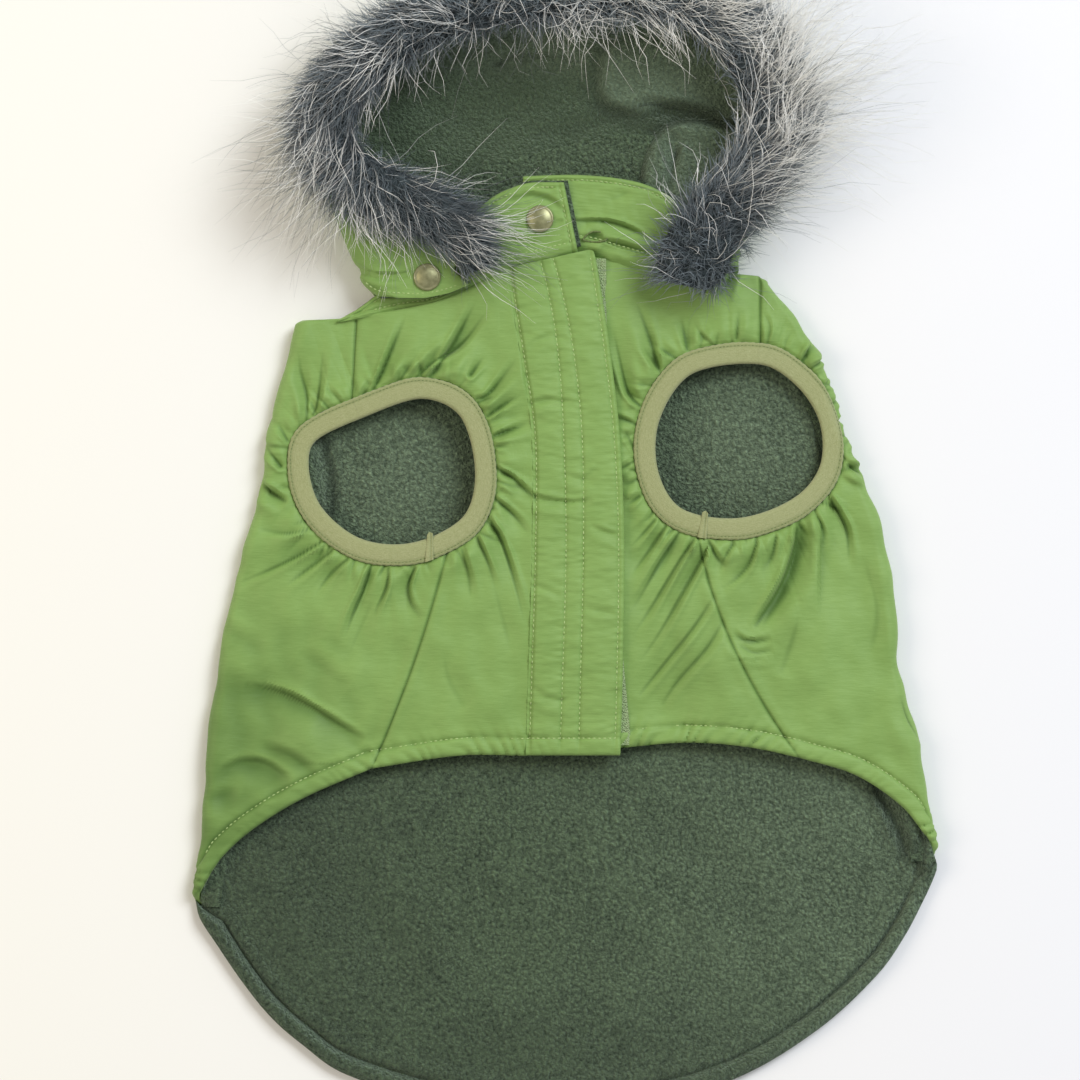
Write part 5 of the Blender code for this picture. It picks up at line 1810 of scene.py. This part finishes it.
def fur_pattern():
    """Hairs that stand in a hide, lean the way it says, and droop and curl towards their tips."""
    made = Pattern("fur", {**LONG_HAIR, "Seed": 1})

    def here():
        return made.node("GeometryNodeInputPosition")

    def named(label, kind):
        return made.node("GeometryNodeInputNamedAttribute", {"data_type": kind}, {"Name": label})

    def random(low, high, salt):
        return made.node("FunctionNodeRandomValue", {"data_type": "FLOAT_VECTOR"},
                         {0: (low,) * 3, 1: (high,) * 3, "Seed": made.given("Seed") + salt})

    def chance(low, high, salt):
        return made.node("FunctionNodeRandomValue", {"data_type": "FLOAT"},
                         {2: low, 3: high, "Seed": made.given("Seed") + salt}, 1)

    density = made.given("Density") * named("full", "FLOAT")
    points = made.node("GeometryNodeDistributePointsOnFaces", {},
                       {"Mesh": made.given("Guide"), "Density": density,
                        "Seed": made.given("Seed")}, "Points")
    normal = Wire(made, points.socket.node.outputs["Normal"])
    way = made.vector("ADD", made.vector("SCALE", normal, made.given("Stand")),
                      made.vector("SCALE", named("lie", "FLOAT_VECTOR"), made.given("Lean")))
    stray = made.given("Stray") * named("loose", "FLOAT")
    way = made.vector("ADD", way, made.vector("SCALE", random(-1.0, 1.0, 11), stray))
    tuft = made.drift(here(), 75.0, 1.0)
    way = made.vector("ADD", way, made.vector("SCALE", tuft, made.given("Swirl") * 4.0))
    root = here()
    cells = {"Vector": root, "Scale": made.given("Cells")}
    heart = made.node("ShaderNodeTexVoronoi", {"feature": "F1"}, dict(cells), "Position")
    heart = made.vector("SUBTRACT", heart, root)
    shared = made.node("ShaderNodeTexVoronoi", {"feature": "F1"}, dict(cells), "Color")
    shared = made.node("ShaderNodeSeparateXYZ", {}, {0: shared})
    turn = made.node("FunctionNodeAlignRotationToVector", {"axis": "Z"}, {"Vector": way})
    line = made.node("GeometryNodeCurvePrimitiveLine", {}, {0: (0, 0, 0), 1: (0, 0, 1)})
    line = made.node("GeometryNodeResampleCurve", {"mode": "COUNT"},
                     {0: line, "Count": made.given("Joints")})
    spread = made.given("Spread")
    length = made.given("Length") * (1 - spread + 2 * (spread * chance(0.0, 1.0, 12)))
    length = length * named("long", "FLOAT")
    scale = made.node("ShaderNodeCombineXYZ", {}, {0: length, 1: length, 2: length})
    hairs = made.node("GeometryNodeInstanceOnPoints", {},
                      {"Points": points, "Instance": line, "Rotation": turn, "Scale": scale})
    # Each hair's tone takes the painted light from its guide.
    tone = chance(0.0, 1.0, 13) * 0.5 + shared * 0.5 + named("hair_painted_light", "FLOAT")
    for label, kind, value in (("tone", "FLOAT", tone),
                               ("heart", "FLOAT_VECTOR", heart),
                               ("size", "FLOAT", length),
                               ("slack", "FLOAT", named("loose", "FLOAT")),
                               ("kink", "FLOAT_VECTOR", random(-1.0, 1.0, 14))):
        hairs = made.node("GeometryNodeStoreNamedAttribute",
                          {"data_type": kind, "domain": "INSTANCE"},
                          {"Geometry": hairs, "Name": label, "Value": value})
    hairs = made.node("GeometryNodeRealizeInstances", {}, {0: hairs})
    tip = made.node("GeometryNodeSplineParameter", {}, {}, "Factor")
    hairs = made.node("GeometryNodeStoreNamedAttribute", {"data_type": "FLOAT", "domain": "POINT"},
                      {"Geometry": hairs, "Name": "tip", "Value": tip})
    reach = named("tip", "FLOAT")
    size = named("size", "FLOAT")
    wave = made.drift(here(), made.given("Wave"), 1.0)
    bent = made.vector("SCALE", wave, made.given("Curl") * named("slack", "FLOAT") * size * reach)
    loose = made.vector("SCALE", named("kink", "FLOAT_VECTOR"),
                        made.given("Kink") * size * (reach ** 2))
    fall = made.node("ShaderNodeCombineXYZ", {},
                     {2: made.given("Droop") * size * (reach ** 2) * -1.0})
    drawn = made.vector("SCALE", named("heart", "FLOAT_VECTOR"), made.given("Wisp") * reach)
    offset = made.vector("ADD", made.vector("ADD", bent, loose), made.vector("ADD", fall, drawn))
    hairs = made.node("GeometryNodeSetPosition", {}, {"Geometry": hairs, "Offset": offset})
    apart = made.node("ShaderNodeSeparateXYZ", {}, {0: here()})
    x, y, z = (Wire(made, socket) for socket in apart.socket.node.outputs)
    raised = z.sum("MAXIMUM", z, named("ground", "FLOAT"))
    spot = made.node("ShaderNodeCombineXYZ", {}, {0: x, 1: y.sum("MINIMUM", y, FUR_END),
                                                  2: raised.sum("MINIMUM", raised, FUR_TOP)})
    hairs = made.node("GeometryNodeSetPosition", {}, {"Geometry": hairs, "Position": spot})
    thick = made.given("Thick") * (1.0 - reach ** 3 * 0.8) * (0.6 + 0.75 * named("tone", "FLOAT"))
    ring = made.node("GeometryNodeCurvePrimitiveCircle", {"mode": "RADIUS"},
                     {"Resolution": 3, "Radius": 1.0})
    tubes = made.node("GeometryNodeCurveToMesh", {},
                      {"Curve": hairs, "Profile Curve": ring, "Scale": thick, "Fill Caps": True})
    made.close(tubes)
    return made


def fur_line():
    """The fur strip's middle line with the columns of its table, at even steps."""
    path = curve(FUR, FUR_STATIONS)
    along = np.gradient(path[:, :2], axis=0)
    side = np.column_stack([-along[:, 1], along[:, 0]])
    return path, side / norm(side, axis=1, keepdims=True)


def fur_section(path, side):
    """Rings of the backing's roll along the strip: flat below, round above."""
    full = np.minimum(1.0, 0.35 + path[:, 2] / 15)
    loops = []
    for angle in np.linspace(0, pi, FUR_PROFILE):
        ground = path[:, :2] + side * (path[:, 2] * FUR_WIDE * -cos(angle))[:, None]
        loops.append(np.column_stack([ground, path[:, 3] + FUR_BODY * sin(angle) ** 0.7 * full]))
    return np.array(loops)


def fur_hide():
    """The backing: a lumpy roll that closes at both ends."""
    path, side = fur_line()
    loops = fur_section(path, side)
    lumps = 0.9 * swell(loops[..., 0], loops[..., 1], 9, 101)
    lumps *= np.sin(np.linspace(0, pi, FUR_PROFILE))[:, None]
    loops[..., 2] += np.maximum(lumps, -2.0)
    loops[[0, -1], :, 2] -= 1.3
    count, stations = loops.shape[:2]
    quads = np.vstack([grid_quads(count, stations), closing_quads(count, stations)])
    ends = []
    for station, flip in ((0, False), (stations - 1, True)):
        ring = np.arange(count) * stations + station
        fan = np.stack([np.full(count - 2, ring[0]), ring[1:-1], ring[2:]], 1)
        ends.append(fan if flip else fan[:, ::-1])
    piece = mesh_piece("fur_backing", loops.reshape(-1, 3), quads, np.vstack(ends), FUR_BACKING)
    return enter(piece, "fur", "fur_trim")


def fur_guide(first, last, guard):
    """One stretch of the hide, with the lie, length and fullness of the hair that it carries."""
    path, side = fur_line()
    path, side = path[first:last + 1], side[first:last + 1]
    loops = fur_section(path, side)
    points = place(loops.reshape(-1, 3))
    count, stations = loops.shape[:2]
    mesh = bpy.data.meshes.new("guide")
    mesh.from_pydata([tuple(point) for point in points], [],
                     [tuple(face) for face in grid_quads(count, stations)])
    mesh.update()
    if mesh.polygons[len(mesh.polygons) // 2].normal.z < 0:
        mesh.flip_normals()
    station = np.tile(np.arange(stations), count)
    lie = np.column_stack([path[station, 4], path[station, 5], np.zeros(len(station))])
    lie /= np.maximum(norm(lie, axis=1, keepdims=True), 0.85)
    x, y = loops[..., 0].ravel(), loops[..., 1].ravel()
    outside = (x < -92) | (x > 86) | (y > 236)
    ground = np.where(outside, 2.0, 19.0) * MM
    attribute = mesh.attributes.new("lie", "FLOAT_VECTOR", "POINT")
    attribute.data.foreach_set("vector", lie.astype(np.float32).ravel())
    tall = np.minimum(0.5 + 0.5 * path[station, 2] / 15, 1.0)
    # Painted light: the hair is paler towards the right and the top; the raised tone also makes it
    # a little thicker.
    hair_painted_light = 0.42 * slope((x + 30) / 70) * slope((y - 146) / 30)
    hair_painted_light = hair_painted_light + 0.10 * slope((y - 215) / 25)
    set_marks(mesh, {"ground": ground, "loose": path[station, 8], "hair_painted_light": hair_painted_light,
                     "full": path[station, 7] if guard else 0 * x + 1.0,
                     "long": path[station, 6] if guard else tall})
    return put("guide", mesh)


def fur():
    """The strip in three stretches: dense underfur, and long guard hair over it."""
    fur_hide()
    pattern = fur_pattern()
    for number, (word, (first, last)) in enumerate(FUR_STRETCHES.items()):
        for name, hair, guard, seed in (("underfur_", SHORT_HAIR, False, 20),
                                        ("guard_hair_", LONG_HAIR, True, 40)):
            piece = grow(name + word, fur_guide(first, last, guard), pattern,
                         {**hair, "Seed": seed + number})
            enter(piece, "fur")


# ---- stage

def stage():
    """A pale table with painted light, warm at its left and cool at its right; soft light from the
    upper right and the left, camera overhead.
    """
    floor = bpy.data.meshes.new("table")
    size = 4.0
    floor.from_pydata([(-size, -size, -0.0004), (size, -size, -0.0004), (size, size, -0.0004),
                       (-size, size, -0.0004)], [], [(0, 1, 2, 3)])
    finish = Finish("table_top", roughness=0.7, specular_ior_level=0.2)
    # Painted light on the table: warmer towards its left, cooler towards its right.
    across = finish.node("ShaderNodeSeparateXYZ", {}, {0: finish.body_map()}).span(-0.26, 0.26)
    colour = finish.blend(across, (0.890, 0.875, 0.825, 1), (0.865, 0.870, 0.915, 1))
    floor.materials.append(finish.done(colour))
    put("table", floor)

    world = bpy.data.worlds.new("studio")
    world.use_nodes = True
    sky = world.node_tree.nodes["Background"]
    sky.inputs["Color"].default_value = (1.0, 0.99, 0.96, 1)
    sky.inputs["Strength"].default_value = 0.42
    bpy.context.scene.world = world
    for name, spot, size, power, colour in (
            ("window", (2.2, 2.2, 3.2), 2.0, 154.0, (0.91, 0.96, 1.0)),
            ("lamp", (-1.8, 0.2, 1.5), 1.2, 19.0, (1.0, 0.86, 0.66))):
        lamp = bpy.data.lights.new(name, "AREA")
        lamp.energy = power
        lamp.color = colour
        lamp.size = size
        made = put(name, lamp)
        made.location = spot
        made.rotation_euler = (-Vector(spot)).to_track_quat("-Z", "Y").to_euler()
        made.visible_camera = False

    field, height, level = 0.500, 2.2, 0.010      # the picture is `field` wide at that level
    view = bpy.data.cameras.new("overhead")
    view.sensor_width = 36.0
    view.lens = view.sensor_width * (height - level) / field
    view.clip_start, view.clip_end = 0.1, 20.0
    camera = put("overhead", view)
    middle = place([-12.0, 2.8, 0.0])
    camera.location = (middle[0], middle[1], height)
    bpy.context.scene.camera = camera
    bpy.context.scene.view_settings.view_transform = "Standard"


# ---- the whole jacket

def main():
    left = half_of(-1, "left", ARMHOLE_LEFT, borders_left(), FOLDS_LEFT, 11)
    right = half_of(1, "right", ARMHOLE_RIGHT, borders_right(), FOLDS_RIGHT, 12)
    for half in (left, right):
        panel("side_" + half.word, "side_panel_" + half.word, half, 0, half.seam)
        panel("front_" + half.word, "front_panel_" + half.word, half, half.seam,
              half.grid.shape[1] - 1)
        belly_lining(half)
        binding(half)
    binding_join(left, (-63, -7), 0.35)
    binding_join(right, (63, 5), -0.05)
    placket()
    hook_tape()
    back_lining()
    back_shell()
    hood_shell()
    hood_lining()
    collar()
    snap("cap_collar", "snap_collar", -12, 151, TAB_LEVEL + 0.1, (0.02, -0.03))
    snap("cap_hood", "snap_hood", -64, 124, 2 * HOOD[0].bend + 0.1, (-0.03, 0.02))
    pattern = stitch_pattern()
    stitches_body((left, right), pattern)
    stitches_binding((left, right), pattern)
    stitches_collar(pattern)
    button_loop(pattern)
    fur()
    stage()


main()
